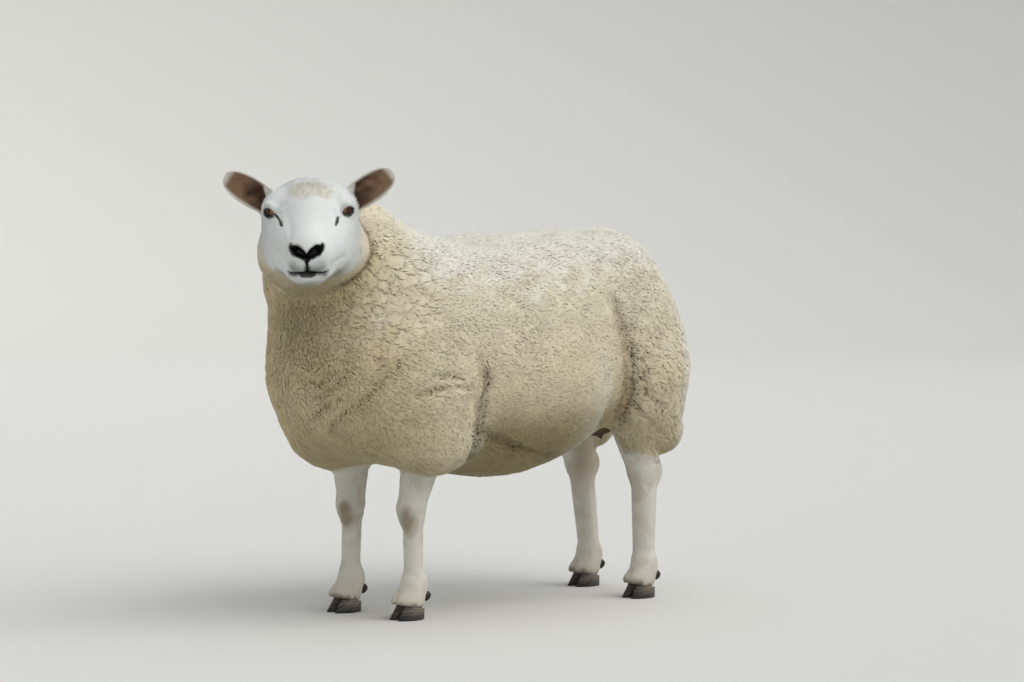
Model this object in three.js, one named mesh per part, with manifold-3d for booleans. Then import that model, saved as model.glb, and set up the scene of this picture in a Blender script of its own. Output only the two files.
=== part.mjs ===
// A standing sheep of a short, broad, white-faced meat breed, life-size, in millimetres.
// The frame: +X is the animal's left, -Y its front and +Z up, with the floor at Z = 0.
// Flesh and fleece are one smooth distance field, out to the tips of the wool. It is
// meshed part by part, and flat thin cuts keep the parts from each other. Eyes, claws
// and dewclaws are solids of their own, which the flesh makes room for.
import * as THREE from "three";
import { mergeVertices } from "three/addons/utils/BufferGeometryUtils.js";
import Module from "manifold-3d";

const wasm = await Module();
wasm.setup();

// ---------------------------------------------------------------- driving dimensions
const GAP = 0.35; // the width of the cut between two parts
const SEAT = 1; // how much larger than a piece the hollow is that the flesh leaves for it
const MIDDLE_BEHIND = 95; // the shape below is drawn from a point this far behind the middle

// The masses of the body over its fleece. An egg has a centre and half axes, a limb two ends
// and the radius at each. Those marked as a pair stand on both sides of the body.
const TRUNK = {
  barrel: { at: [0, -20, 468], half: [236, 305, 218] },
  back: { from: [62, -200, 583], to: [68, 218, 613], radii: [118, 112] }, // a pair
  shoulder: { at: [106, -245, 472], half: [104, 150, 188] }, // a pair
  breast: { at: [0, -325, 450], half: [158, 162, 143] },
  brisket: { at: [-116, -302, 384], half: [84, 86, 108] },
  rump: { at: [0, 232, 555], half: [166, 158, 156] },
  haunch: { at: [122, 262, 484], half: [86, 128, 160] }, // a pair
};
const NECK = {
  base: { from: [0, -250, 566], to: [8, -340, 668], radii: [148, 108] },
  crest: { from: [8, -340, 668], to: [14, -400, 722], radii: [106, 82] },
  throat: { from: [0, -340, 490], to: [-44, -364, 636], radii: [138, 119] },
};

// Where the middle of each foot stands, how far the knee or hock leans from above it, how far
// the leg does where the fleece lets go of it, and how high the fleece's sleeve ends.
const FEET = {
  front_left: { x: 77, y: -262, lean: [3, 4], arm: [8, 30], cuff: 353, fore: true },
  front_right: { x: -91, y: -282, lean: [7, 6], arm: [-7, 15], cuff: 370, fore: true },
  hind_left: { x: 112, y: 296, lean: [3, 2], arm: [9, 24], cuff: 338, fore: false },
  hind_right: { x: -102, y: 341, lean: [-6, -10], arm: [-8, 14], cuff: 338, fore: false },
};
const HOOF = { length: 60, width: 28, toe: 32, heel: 20, slope: 0.7, ahead: 8 };
const DEWCLAW = { apart: 14, behind: 29, high: 43, length: 21, radius: 9 };

// The middle of the line between the eyes, and how the head is turned and dropped.
const HEAD = { at: [97, -509, 765], yaw: 51, pitch: 24, roll: -1.4 };
const EYE = { at: [65, -1, 2], radius: 14 };
const EAR = { root: [66, 48, -8], tip: [153, 52, 52], width: 30, cup: 12, thick: 4.5 };
const TAIL = { top: [0, 368, 640], tip: [0, 406, 528], radii: [34, 21] };
const UDDER = { at: [0, 272, 354], half: [58, 47, 40] };

const COLOURS = {
  fleece: 0xcfc4ae,
  hair: 0xe6e3dc,
  skin: 0x8a7263,
  horn: 0x3a332f,
  eye: 0x5a3a22,
};

// ---------------------------------------------------------------- distance functions
const hyp = Math.hypot;
const clamp = (v, lo, hi) => Math.min(hi, Math.max(lo, v));
const rad = THREE.MathUtils.degToRad;

// Joins two distances, with the valley between them filled about k wide.
function blend(a, b, k) {
  const h = Math.max(k - Math.abs(a - b), 0) / k;
  return Math.min(a, b) - (h * h * k) / 4;
}

// An ellipsoid at c with half axes r.
function egg(p, c, r) {
  const x = p[0] - c[0], y = p[1] - c[1], z = p[2] - c[2];
  const k0 = hyp(x / r[0], y / r[1], z / r[2]);
  const k1 = hyp(x / r[0] ** 2, y / r[1] ** 2, z / r[2] ** 2);
  return k1 > 1e-9 ? (k0 * (k0 - 1)) / k1 : -Math.min(...r);
}

// A rounded limb from a to b, whose radius goes from ra to rb.
function limb(p, a, b, ra, rb) {
  const u = [b[0] - a[0], b[1] - a[1], b[2] - a[2]];
  const v = [p[0] - a[0], p[1] - a[1], p[2] - a[2]];
  const along = u[0] * v[0] + u[1] * v[1] + u[2] * v[2];
  const t = clamp(along / (u[0] ** 2 + u[1] ** 2 + u[2] ** 2), 0, 1);
  return hyp(v[0] - u[0] * t, v[1] - u[1] * t, v[2] - u[2] * t) - ra - (rb - ra) * t;
}

const eggOf = (p, { at, half }) => egg(p, at, half);
const limbOf = (p, { from, to, radii }) => limb(p, from, to, ...radii);

// ---------------------------------------------------------------- the body over its fleece
function trunkField(p) {
  const q = [Math.abs(p[0]), p[1], p[2]];
  let d = eggOf(p, TRUNK.barrel);
  d = blend(d, limbOf(q, TRUNK.back), 90);
  d = blend(d, eggOf(q, TRUNK.shoulder), 70);
  d = blend(d, eggOf(p, TRUNK.breast), 90);
  d = blend(d, eggOf(p, TRUNK.brisket), 50);
  d = blend(d, eggOf(p, TRUNK.rump), 80);
  d = blend(d, eggOf(q, TRUNK.haunch), 36);
  return d;
}

function neckField(p) {
  const d = blend(limbOf(p, NECK.base), limbOf(p, NECK.crest), 60);
  return blend(d, limbOf(p, NECK.throat), 70);
}

// The fleece runs down each upper leg as a sleeve.
function sleeveField(p, { x, y, arm, cuff, fore }) {
  const side = Math.sign(x);
  const [u, v] = [x + arm[0], y + arm[1]];
  if (fore) return limb(p, [side * 116, -238, 425], [u + side * 40, v - 9, cuff], 94, 75);
  return limb(p, [side * 124, 288, 432], [u, v + 6, cuff], 92, 58);
}

function legField(p, { x, y, lean, arm, fore }) {
  const [u, v] = [x + lean[0], y + lean[1]];
  let d;
  if (fore) {
    d = limb(p, [x + arm[0], y + arm[1], 330], [u, v, 215], 44, 27);
    d = blend(d, egg(p, [u, v - 3, 202], [26, 27, 34]), 14); // knee
    d = blend(d, limb(p, [u, v + 2, 185], [x, y + 10, 84], 20.5, 19.5), 12); // cannon
    d = blend(d, egg(p, [x, y + 12, 62], [26, 29, 26]), 18); // fetlock
    return blend(d, egg(p, [x, y - 4, 34], [30, 34, 24]), 18); // pastern
  }
  d = limb(p, [u, v - 18, 340], [u, v - 2, 262], 51, 33);
  d = blend(d, egg(p, [u, v + 9, 250], [25, 40, 36]), 14); // hock
  d = blend(d, limb(p, [u, v + 4, 236], [x, y + 8, 84], 27, 22.5), 14); // cannon
  d = blend(d, egg(p, [x, y + 10, 60], [26, 30, 27]), 18); // fetlock
  return blend(d, egg(p, [x, y - 5, 34], [30, 34, 24]), 18); // pastern
}

// ---------------------------------------------------------------- the head, in its own frame
// There -Y is towards the nose, +X the animal's left and +Z the top of the head.
const headTurn = new THREE.Matrix4()
  .makeTranslation(...HEAD.at)
  .multiply(new THREE.Matrix4().makeRotationZ(rad(HEAD.yaw)))
  .multiply(new THREE.Matrix4().makeRotationX(rad(HEAD.pitch)))
  .multiply(new THREE.Matrix4().makeRotationY(rad(HEAD.roll)));
const headBack = headTurn.clone().invert();
const toHead = (p) => new THREE.Vector3(...p).applyMatrix4(headBack).toArray();
const fromHead = (p) => new THREE.Vector3(...p).applyMatrix4(headTurn).toArray();

function headField(p) {
  const h = toHead(p);
  const q = [Math.abs(h[0]), h[1], h[2]];
  let d = egg(h, [0, 46, -14], [80, 66, 56]); // braincase
  d = blend(d, egg(h, [0, 2, -12], [64, 58, 46]), 26); // forehead
  d = blend(d, egg(q, [60, 22, 0], [26, 30, 24]), 18); // brow
  d = blend(d, limb(h, [0, -20, -20], [0, -104, -28], 50, 36), 26); // bridge of the nose
  d = blend(d, egg(h, [0, -106, -38], [44, 38, 37]), 22); // muzzle
  d = blend(d, egg(h, [0, -90, -74], [43, 42, 28]), 16); // chin
  d = blend(d, egg(q, [34, -44, -40], [36, 56, 40]), 26); // side of the face
  d = blend(d, egg(q, [50, 20, -60], [41, 58, 60]), 30); // cheek
  d = blend(d, egg(h, [0, -16, -78], [69, 76, 42]), 26); // jaw
  return blend(d, egg(h, [6, 42, -105], [109, 70, 82]), 20); // the ruff behind the cheeks
}

function fleeceField(p) {
  let d = blend(trunkField(p), neckField(p), 70);
  for (const foot of Object.values(FEET)) d = blend(d, sleeveField(p, foot), 40);
  return d;
}
const frontField = (p) => blend(fleeceField(p), headField(p), 20);

// ---------------------------------------------------------------- meshing a field
// Surface nets: one point in each cell that the surface crosses, then moved on to it.
// The mesh closes at the edge of its box.
function meshField(field, low, high, cell) {
  const n = low.map((v, i) => Math.ceil((high[i] - v) / cell) + 1);
  const at = (i, j, k) => [low[0] + i * cell, low[1] + j * cell, low[2] + k * cell];
  const index = (i, j, k) => (k * n[1] + j) * n[0] + i;
  const edge = (i, j, k) => i * j * k === 0 || i === n[0] - 1 || j === n[1] - 1 || k === n[2] - 1;
  const value = new Float32Array(n[0] * n[1] * n[2]);
  for (let k = 0; k < n[2]; k++)
    for (let j = 0; j < n[1]; j++)
      for (let i = 0; i < n[0]; i++) {
        const d = field(at(i, j, k));
        value[index(i, j, k)] = edge(i, j, k) ? Math.max(d, cell / 2) : d;
      }
  const points = [], faces = [];
  const pointOf = new Int32Array(value.length).fill(-1);
  const corners = [0, 1, 2, 3, 4, 5, 6, 7].map((c) => [c & 1, (c >> 1) & 1, c >> 2]);
  for (let k = 0; k < n[2] - 1; k++)
    for (let j = 0; j < n[1] - 1; j++)
      for (let i = 0; i < n[0] - 1; i++) {
        const v = corners.map(([a, b, c]) => value[index(i + a, j + b, k + c)]);
        const sum = [0, 0, 0];
        let hits = 0;
        for (let a = 0; a < 8; a++)
          for (const bit of [1, 2, 4]) {
            const b = a | bit;
            if (a === b || v[a] < 0 === v[b] < 0) continue;
            const t = v[a] / (v[a] - v[b]);
            for (let m = 0; m < 3; m++) {
              sum[m] += corners[a][m] + t * (corners[b][m] - corners[a][m]);
            }
            hits++;
          }
        if (!hits) continue;
        pointOf[index(i, j, k)] = points.length;
        points.push(at(i, j, k).map((w, m) => w + (sum[m] / hits) * cell));
      }
  for (let k = 0; k < n[2] - 1; k++)
    for (let j = 0; j < n[1] - 1; j++)
      for (let i = 0; i < n[0] - 1; i++)
        for (const [s, u, w] of [[0, 1, 2], [1, 2, 0], [2, 0, 1]]) {
          const next = [i, j, k];
          if (!next[u] || !next[w]) continue;
          next[s]++;
          const inside = value[index(i, j, k)] < 0;
          if (inside === value[index(...next)] < 0) continue;
          const ring = [[0, 0], [1, 0], [1, 1], [0, 1]].map(([du, dw]) => {
            const c = [i, j, k];
            c[u] -= du;
            c[w] -= dw;
            return pointOf[index(...c)];
          });
          if (!inside) ring.reverse();
          faces.push(ring[0], ring[1], ring[2], ring[0], ring[2], ring[3]);
        }
  for (const p of points) settle(p, field, cell / 2);
  return geometry(points.flat(), faces);
}

// Moves a point on to the surface, by at most reach.
function settle(p, field, reach) {
  const start = [...p];
  const e = 0.5;
  for (let step = 0; step < 3; step++) {
    const d = field(p);
    const slope = [0, 1, 2].map((m) => {
      const s = [...p];
      s[m] += e;
      return (field(s) - d) / e;
    });
    const size = slope[0] ** 2 + slope[1] ** 2 + slope[2] ** 2;
    if (size < 1e-3) return;
    for (let m = 0; m < 3; m++) {
      p[m] = clamp(p[m] - (d * slope[m]) / size, start[m] - reach, start[m] + reach);
    }
  }
}

function geometry(positions, index) {
  return new THREE.BufferGeometry()
    .setAttribute("position", new THREE.Float32BufferAttribute(positions, 3))
    .setIndex(index);
}

// ---------------------------------------------------------------- joins and cuts
function solid(g) {
  const bare = g.clone();
  bare.deleteAttribute("normal");
  bare.deleteAttribute("uv");
  const m = mergeVertices(bare, 1e-3);
  const vertProperties = new Float32Array(m.attributes.position.array);
  const triVerts = new Uint32Array(m.index.array);
  return new wasm.Manifold(new wasm.Mesh({ numProp: 3, vertProperties, triVerts }));
}

function box(low, high) {
  const size = high.map((v, i) => v - low[i]);
  return solid(new THREE.BoxGeometry(...size).translate(...low.map((v, i) => v + size[i] / 2)));
}

// All space on the side of a plane that its normal points to, from off beyond it.
const FAR = 2400;
const flip = (v) => v.map((w) => -w);
function beyond(point, normal, off = GAP / 2) {
  const n = new THREE.Vector3(...normal).normalize();
  const turn = new THREE.Quaternion().setFromUnitVectors(new THREE.Vector3(0, 0, 1), n);
  const g = new THREE.BoxGeometry(FAR, FAR, FAR).translate(0, 0, FAR / 2 + off);
  return solid(g.applyQuaternion(turn).translate(...point));
}

const sheep = new THREE.Group();
function add(name, s, colour, roughness = 0.9) {
  const { vertProperties, triVerts } = s.getMesh();
  const material = new THREE.MeshStandardMaterial({ color: colour, roughness, metalness: 0 });
  const mesh = new THREE.Mesh(geometry(vertProperties, Array.from(triVerts)), material);
  mesh.name = name;
  sheep.add(mesh);
}

// ---------------------------------------------------------------- where the parts part
const NECK_CUT = { point: [0, -310, 600], normal: [0.1, -0.6, 0.8] };

// The head is what lies in a block of its own frame, whose back corners are cut off.
const HEAD_BLOCK = { low: [-118, -320, -114], high: [118, 88, 240], corner: 98 };
const CORNER_SLOPE = [0.8, 0.6];

function headBlock(spare) {
  const low = HEAD_BLOCK.low.map((v) => v - spare);
  const high = HEAD_BLOCK.high.map((v) => v + spare);
  let block = box(low, high);
  for (const side of [1, -1]) {
    const out = [side * CORNER_SLOPE[0], CORNER_SLOPE[1], 0];
    const corner = out.map((v) => v * (HEAD_BLOCK.corner + spare));
    block = block.intersect(beyond(corner, flip(out), 0));
  }
  return block.transform(headTurn.elements);
}

// The box that holds one leg below the trunk, larger by spare all round.
const LEG_BOXES = {
  fore: { inner: 8, outer: 220, front: -352, back: -190, top: 290 },
  hind: { inner: 28, outer: 220, front: 208, back: 440, top: 304 },
};
const UNDER = -20;

function legBox({ x, fore }, spare) {
  const { inner, outer, front, back, top } = fore ? LEG_BOXES.fore : LEG_BOXES.hind;
  const [near, far] = x > 0 ? [inner, outer] : [-outer, -inner];
  return [
    [near - spare, front - spare, UNDER - spare],
    [far + spare, back + spare, top + spare],
  ];
}

// ---------------------------------------------------------------- small solids
// Two sheets of points, rows by columns, sewn together round their edge.
function shell(sheet, rows, columns) {
  const points = [];
  const faces = [];
  for (const side of [0, 1])
    for (let r = 0; r <= rows; r++)
      for (let c = 0; c <= columns; c++) {
        points.push(...sheet(r / rows, (2 * c) / columns - 1, side));
      }
  const id = (side, r, c) => (side * (rows + 1) + r) * (columns + 1) + c;
  const quad = (a, b, c, d) => faces.push(a, b, c, a, c, d);
  for (let r = 0; r < rows; r++)
    for (let c = 0; c < columns; c++) {
      quad(id(1, r, c), id(1, r, c + 1), id(1, r + 1, c + 1), id(1, r + 1, c));
      quad(id(0, r, c), id(0, r + 1, c), id(0, r + 1, c + 1), id(0, r, c + 1));
    }
  for (let r = 0; r < rows; r++) {
    quad(id(1, r, 0), id(1, r + 1, 0), id(0, r + 1, 0), id(0, r, 0));
    quad(id(1, r, columns), id(0, r, columns), id(0, r + 1, columns), id(1, r + 1, columns));
  }
  for (let c = 0; c < columns; c++) {
    quad(id(1, 0, c), id(0, 0, c), id(0, 0, c + 1), id(1, 0, c + 1));
    quad(id(1, rows, c), id(1, rows, c + 1), id(0, rows, c + 1), id(0, rows, c));
  }
  return solid(geometry(points, faces));
}

// A cupped ear that opens forwards. along runs from root to tip, across from rim to rim.
const EAR_WIDEST = 0.45; // how far along the ear is widest
const EAR_ROWS = 7;
const EAR_COLUMNS = 6;
function ear(side) {
  const mirror = new THREE.Vector3(side, 1, 1);
  const root = new THREE.Vector3(...EAR.root).multiply(mirror);
  const axis = new THREE.Vector3(...EAR.tip).multiply(mirror).sub(root);
  const length = axis.length();
  axis.normalize();
  const facing = new THREE.Vector3(0, -1, 0).addScaledVector(axis, axis.y).normalize();
  const wide = new THREE.Vector3().crossVectors(facing, axis);
  const sheet = (along, across, back) => {
    const rise = Math.min(along / EAR_WIDEST, 1);
    const fall = Math.max(along - EAR_WIDEST, 0) / (1.015 - EAR_WIDEST);
    const swell = 0.8 + 0.2 * Math.sin((rise * Math.PI) / 2);
    const width = EAR.width * swell * Math.sqrt(1 - fall ** 2.4);
    const cup = EAR.cup * (1 - 0.45 * along) * (across * across - 0.5);
    const depth = cup - (back - 0.5) * EAR.thick;
    return root
      .clone()
      .addScaledVector(axis, along * length)
      .addScaledVector(wide, across * width)
      .addScaledVector(facing, depth)
      .applyMatrix4(headTurn)
      .toArray();
  };
  return shell(sheet, EAR_ROWS, EAR_COLUMNS);
}

// One claw of horn: side -1 or 1 of the foot's middle, on a flat sole. It leans back as it
// rises, curves in to the toe and is flat where it faces the other claw.
const CLAW_SIDES = 10;
const CLAW_RINGS = 2;
const CLEFT = 0.8; // half the space between the claws, at the sole
function claw({ x, y }, side) {
  const points = [];
  const faces = [];
  const middle = HOOF.width / 2 + CLEFT;
  for (let ring = 0; ring <= CLAW_RINGS; ring++) {
    const z = (ring / CLAW_RINGS) * HOOF.toe;
    const half = (HOOF.length - z * HOOF.slope) / 2;
    for (let i = 0; i < CLAW_SIDES; i++) {
      const a = (i / CLAW_SIDES) * 2 * Math.PI;
      const toe = Math.max(-Math.cos(a), 0);
      const narrow = (1 - 0.4 * toe ** 3) * (1 - 0.1 * (z / HOOF.toe));
      const across = (HOOF.width / 2) * Math.sin(a) * narrow;
      const flat = Math.max(across, -middle + CLEFT + 0.02 * z);
      const behind = half * Math.cos(a) + (z * HOOF.slope) / 2;
      points.push(x + side * (middle + flat - 2 * toe), y - HOOF.ahead + behind, z);
    }
  }
  const id = (ring, i) => ring * CLAW_SIDES + (i % CLAW_SIDES);
  for (let ring = 0; ring < CLAW_RINGS; ring++)
    for (let i = 0; i < CLAW_SIDES; i++) {
      const [a, b, c, d] = [id(ring, i), id(ring + 1, i), id(ring + 1, i + 1), id(ring, i + 1)];
      faces.push(a, b, c, a, c, d);
    }
  for (let i = 1; i < CLAW_SIDES - 1; i++) {
    faces.push(id(0, 0), id(0, i), id(0, i + 1));
    faces.push(id(CLAW_RINGS, 0), id(CLAW_RINGS, i + 1), id(CLAW_RINGS, i));
  }
  if (side < 0) faces.reverse();
  return solid(geometry(points, faces));
}

// The plane where hair meets horn: higher at the toe than at the heel.
const coronet = ({ x, y }) => ({
  point: [x, y, (HOOF.toe + HOOF.heel) / 2 - 4],
  normal: [0, (HOOF.toe - HOOF.heel) / HOOF.length, 1],
});

// A dewclaw: a blunt bud of horn behind the fetlock. Its profile is radius by height.
const DEWCLAW_PROFILE = [[0, -0.5], [0.6, -0.42], [1, -0.05], [0.8, 0.3], [0, 0.5]];
const DEWCLAW_TILT = 55;
function dewclaw({ x, y }, side, spare) {
  const { apart, behind, high, length, radius } = DEWCLAW;
  const [wide, tall] = [radius + spare, length + 2 * spare];
  const points = DEWCLAW_PROFILE.map(([r, h]) => new THREE.Vector2(r * wide, h * tall));
  const g = new THREE.LatheGeometry(points, 8).rotateX(rad(DEWCLAW_TILT));
  return solid(g.translate(x + side * apart, y + behind, high));
}

function eyeball(side, spare) {
  const g = new THREE.SphereGeometry(EYE.radius + spare, 10, 7);
  return solid(g.translate(side * EYE.at[0], EYE.at[1], EYE.at[2]).applyMatrix4(headTurn));
}

// A piece with no hollows of its own, and the same shape a little larger round its middle.
function seated(field, low, high, cell) {
  const g = meshField(field, low, high, cell);
  const middle = low.map((v, i) => (v + high[i]) / 2);
  const grow = middle.map((v, i) => 1 + (2 * SEAT) / (high[i] - v));
  const seat = g.clone().translate(...flip(middle)).scale(...grow).translate(...middle);
  return { piece: solid(g), seat: solid(seat) };
}

// ---------------------------------------------------------------- the parts
// The size of the cells that each part is meshed with.
const CELL = { trunk: 47, neck: 32, head: 15, leg: 20.5, tail: 20, udder: 24 };
const legs = Object.entries(FEET);

const tailField = (p) => limb(p, TAIL.top, TAIL.tip, ...TAIL.radii);
const tail = seated(tailField, [-45, 320, 470], [45, 450, 690], CELL.tail);
const udder = seated((p) => eggOf(p, UDDER), [-90, 204, 288], [90, 340, 420], CELL.udder);

let trunk = solid(meshField(fleeceField, [-290, -560, 200], [290, 480, 780], CELL.trunk));
trunk = trunk.intersect(beyond(NECK_CUT.point, flip(NECK_CUT.normal)));
for (const [, foot] of legs) trunk = trunk.subtract(box(...legBox(foot, GAP)));
add("trunk", trunk.subtract(tail.seat).subtract(udder.seat), COLOURS.fleece);
add("tail", tail.piece, COLOURS.fleece);
add("udder", udder.piece, COLOURS.skin);

let neck = solid(meshField(frontField, [-240, -640, 400], [300, -100, 860], CELL.neck));
neck = neck.intersect(beyond(NECK_CUT.point, NECK_CUT.normal));
add("neck", neck.subtract(headBlock(GAP)), COLOURS.fleece);

function headMesh(spare) {
  const field = (p) => frontField(p) - spare;
  return solid(meshField(field, [-80, -720, 600], [280, -360, 860], CELL.head));
}
let head = headMesh(0).intersect(headBlock(0));
const pastHead = headMesh(SEAT);
for (const [name, side] of [["left", 1], ["right", -1]]) {
  head = head.subtract(eyeball(side, SEAT));
  add(`eye_${name}`, eyeball(side, 0), COLOURS.eye, 0.1);
  add(`ear_${name}`, ear(side).subtract(pastHead), COLOURS.hair);
}
add("head", head, COLOURS.hair);

for (const [name, foot] of legs) {
  const field = (p) => blend(fleeceField(p), legField(p, foot), 8);
  const [low, high] = legBox(foot, 30);
  const top = coronet(foot);
  let leg = solid(meshField(field, [low[0], low[1], 0], high, CELL.leg));
  leg = leg.intersect(box(...legBox(foot, 0))).intersect(beyond(top.point, top.normal));
  for (const [where, side] of [["outer", Math.sign(foot.x)], ["inner", -Math.sign(foot.x)]]) {
    const horn = claw(foot, side).intersect(beyond(top.point, flip(top.normal)));
    add(`claw_${name}_${where}`, horn, COLOURS.horn, 0.6);
    leg = leg.subtract(dewclaw(foot, side, SEAT));
    add(`dewclaw_${name}_${where}`, dewclaw(foot, side, 0), COLOURS.horn, 0.6);
  }
  add(`leg_${name}`, leg, COLOURS.hair);
}

// The frame's origin is on the floor under the middle of the whole animal's box.
sheep.position.set(0, MIDDLE_BEHIND, 0);

export default sheep;
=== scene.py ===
"""A sheep in its fleece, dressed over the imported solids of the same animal.

The animal is drawn in millimetres round a point on the floor, with +X to its left, -Y to
its front and +Z up, as one smooth distance field out to the tips of its coat. One skin
lies inside that field by the depth of the coat, and carries the folds of the body and of
the face. Locks of wool and tufts of hair grow from the skin and carry the same markings.
"""

import logging
import math
from dataclasses import dataclass
from enum import Enum
from functools import lru_cache
from typing import Callable, Protocol, Sequence

import bmesh
import bpy
import numpy as np
import openvdb
from mathutils import Matrix, Vector
from mathutils.kdtree import KDTree
from numpy.linalg import norm

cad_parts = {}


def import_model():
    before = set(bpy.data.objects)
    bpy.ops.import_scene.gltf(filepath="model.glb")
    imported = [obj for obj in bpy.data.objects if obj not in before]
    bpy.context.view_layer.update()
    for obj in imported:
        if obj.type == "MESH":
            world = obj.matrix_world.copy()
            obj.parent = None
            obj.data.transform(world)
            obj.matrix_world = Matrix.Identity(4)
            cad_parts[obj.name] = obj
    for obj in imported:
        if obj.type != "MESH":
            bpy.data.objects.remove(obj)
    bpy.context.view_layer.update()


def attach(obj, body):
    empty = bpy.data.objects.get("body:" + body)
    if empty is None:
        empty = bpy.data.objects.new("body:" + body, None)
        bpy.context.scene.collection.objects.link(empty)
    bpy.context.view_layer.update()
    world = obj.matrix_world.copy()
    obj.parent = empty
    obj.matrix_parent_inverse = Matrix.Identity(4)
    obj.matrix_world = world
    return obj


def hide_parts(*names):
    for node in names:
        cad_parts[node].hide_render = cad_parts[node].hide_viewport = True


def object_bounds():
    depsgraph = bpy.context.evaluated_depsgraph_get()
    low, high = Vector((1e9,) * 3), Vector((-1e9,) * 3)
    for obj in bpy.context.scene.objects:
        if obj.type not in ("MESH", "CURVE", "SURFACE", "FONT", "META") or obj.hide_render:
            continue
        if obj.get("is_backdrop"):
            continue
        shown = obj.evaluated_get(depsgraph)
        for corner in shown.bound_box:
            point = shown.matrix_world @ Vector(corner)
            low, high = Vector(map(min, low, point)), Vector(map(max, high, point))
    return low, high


LOG = logging.getLogger("sheep")
Triple = tuple[float, float, float]
Array = np.ndarray
Mesh = bpy.types.Mesh
Piece = bpy.types.Object
Field = Callable[[Array], Array]

MM = 0.001
BEHIND = np.array([0.0, 95.0, 0.0])  # from the row frame's point back to the drawn body's, in mm
HEAD_REACH = 230.0  # how far from the skull's middle the head's own colours and lie go, in mm


# ---------------- small mathematics
def blend(a: Array, b: Array, width: float) -> Array:
    """Joins two distances, with the valley between them filled.

    Args:
        a: One distance for each point.
        b: The other distance for each point.
        width: How wide the filled valley is, in the distances' unit.

    Returns:
        The joined distance for each point.
    """
    h = np.maximum(width - np.abs(a - b), 0.0) / width
    return np.minimum(a, b) - h * h * width / 4.0


def ramp(low: float, high: float, x: Array) -> Array:
    """A smooth step from 0 at low to 1 at high.

    Args:
        low: Where the step starts. It may lie above high.
        high: Where the step ends.
        x: The values to step.

    Returns:
        A value from 0 to 1 for each x.
    """
    t = np.clip((x - low) / (high - low), 0.0, 1.0)
    return t * t * (3.0 - 2.0 * t)


def unit(v: Array) -> Array:
    """Rows of v, each made one long."""
    return v / np.maximum(norm(v, axis=-1, keepdims=True), 1e-9)


def linear(red: float, green: float, blue: float) -> Array:
    """A screen colour from 0 to 255 as the linear light that a shader takes.

    Args:
        red: The screen's red.
        green: The screen's green.
        blue: The screen's blue.

    Returns:
        Linear red, green and blue.
    """
    s = np.array([red, green, blue], float) / 255.0
    return np.where(s <= 0.04045, s / 12.92, ((s + 0.055) / 1.055) ** 2.4)


@dataclass(frozen=True)
class Ripple:
    """Smooth seeded noise from about -1 to 1: a sum of waves in many directions."""

    size: float
    seed: int
    waves: int = 9

    def at(self, p: Array) -> Array:
        """The noise at each point.

        Args:
            p: Points in millimetres.

        Returns:
            One value for each point.
        """
        rng = np.random.default_rng(self.seed)
        ways = unit(rng.normal(size=(self.waves, 3)))
        pitch = 2.0 * math.pi / (self.size * rng.uniform(0.7, 1.6, self.waves))
        shift = rng.uniform(0.0, 2.0 * math.pi, self.waves)
        total = np.zeros(len(p))
        for way, k, s in zip(ways, pitch, shift):
            total += np.cos(p @ way * k + s)
        return total / math.sqrt(self.waves)


# ---------------- shapes
class Shape(Protocol):
    """Anything with a distance to its surface, below zero inside."""

    def distance(self, p: Array) -> Array:
        """The signed distance of each point, in millimetres."""
        ...


@dataclass(frozen=True)
class Egg:
    """An ellipsoid. A pair stands on both sides of the middle plane."""

    at: Triple
    half: Triple
    pair: bool = False

    def distance(self, p: Array) -> Array:
        """The signed distance of each point, in millimetres.

        Args:
            p: Points in millimetres.

        Returns:
            One distance for each point.
        """
        q = mirrored(p) if self.pair else p
        x = (q - np.array(self.at)) / np.array(self.half)
        k0 = norm(x, axis=1)
        k1 = norm(x / np.array(self.half), axis=1)
        return np.where(k1 > 1e-9, k0 * (k0 - 1.0) / np.maximum(k1, 1e-9), -min(self.half))


@dataclass(frozen=True)
class Limb:
    """A rounded limb between two ends. A pair stands on both sides of the middle plane."""

    start: Triple
    end: Triple
    radii: tuple[float, float]
    pair: bool = False

    def distance(self, p: Array) -> Array:
        """The signed distance of each point, in millimetres.

        Args:
            p: Points in millimetres.

        Returns:
            One distance for each point.
        """
        q = mirrored(p) if self.pair else p
        a = np.array(self.start, float)
        u = np.array(self.end, float) - a
        v = q - a
        t = np.clip(v @ u / (u @ u), 0.0, 1.0)
        growth = self.radii[1] - self.radii[0]
        return norm(v - t[:, None] * u, axis=1) - self.radii[0] - growth * t


@dataclass(frozen=True)
class Cord:
    """A bare line through a few points. A pair runs on both sides of the middle plane."""

    points: tuple[Triple, ...]
    pair: bool = False

    def distance(self, p: Array) -> Array:
        """The signed distance of each point, in millimetres.

        Args:
            p: Points in millimetres.

        Returns:
            One distance for each point.
        """
        legs = zip(self.points[:-1], self.points[1:])
        return np.min([Limb(a, b, (0.0, 0.0), self.pair).distance(p) for a, b in legs], axis=0)


@dataclass(frozen=True)
class Mass:
    """Shapes blended one after another, each with its own width of blend."""

    first: Shape
    rest: tuple[tuple[Shape, float], ...]

    def distance(self, p: Array) -> Array:
        """The signed distance of each point, in millimetres.

        Args:
            p: Points in millimetres.

        Returns:
            One distance for each point.
        """
        d = self.first.distance(p)
        for shape, width in self.rest:
            d = blend(d, shape.distance(p), width)
        return d


def mirrored(p: Array) -> Array:
    """The points folded on to the side where X is above zero."""
    return np.column_stack([np.abs(p[:, 0]), p[:, 1], p[:, 2]])


def away(p: Array, at: Triple, reach: Triple) -> Array:
    """How far each point lies from the middle of an oval spot, as a share of its reach."""
    return norm((p - np.array(at)) / np.array(reach), axis=1)


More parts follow.
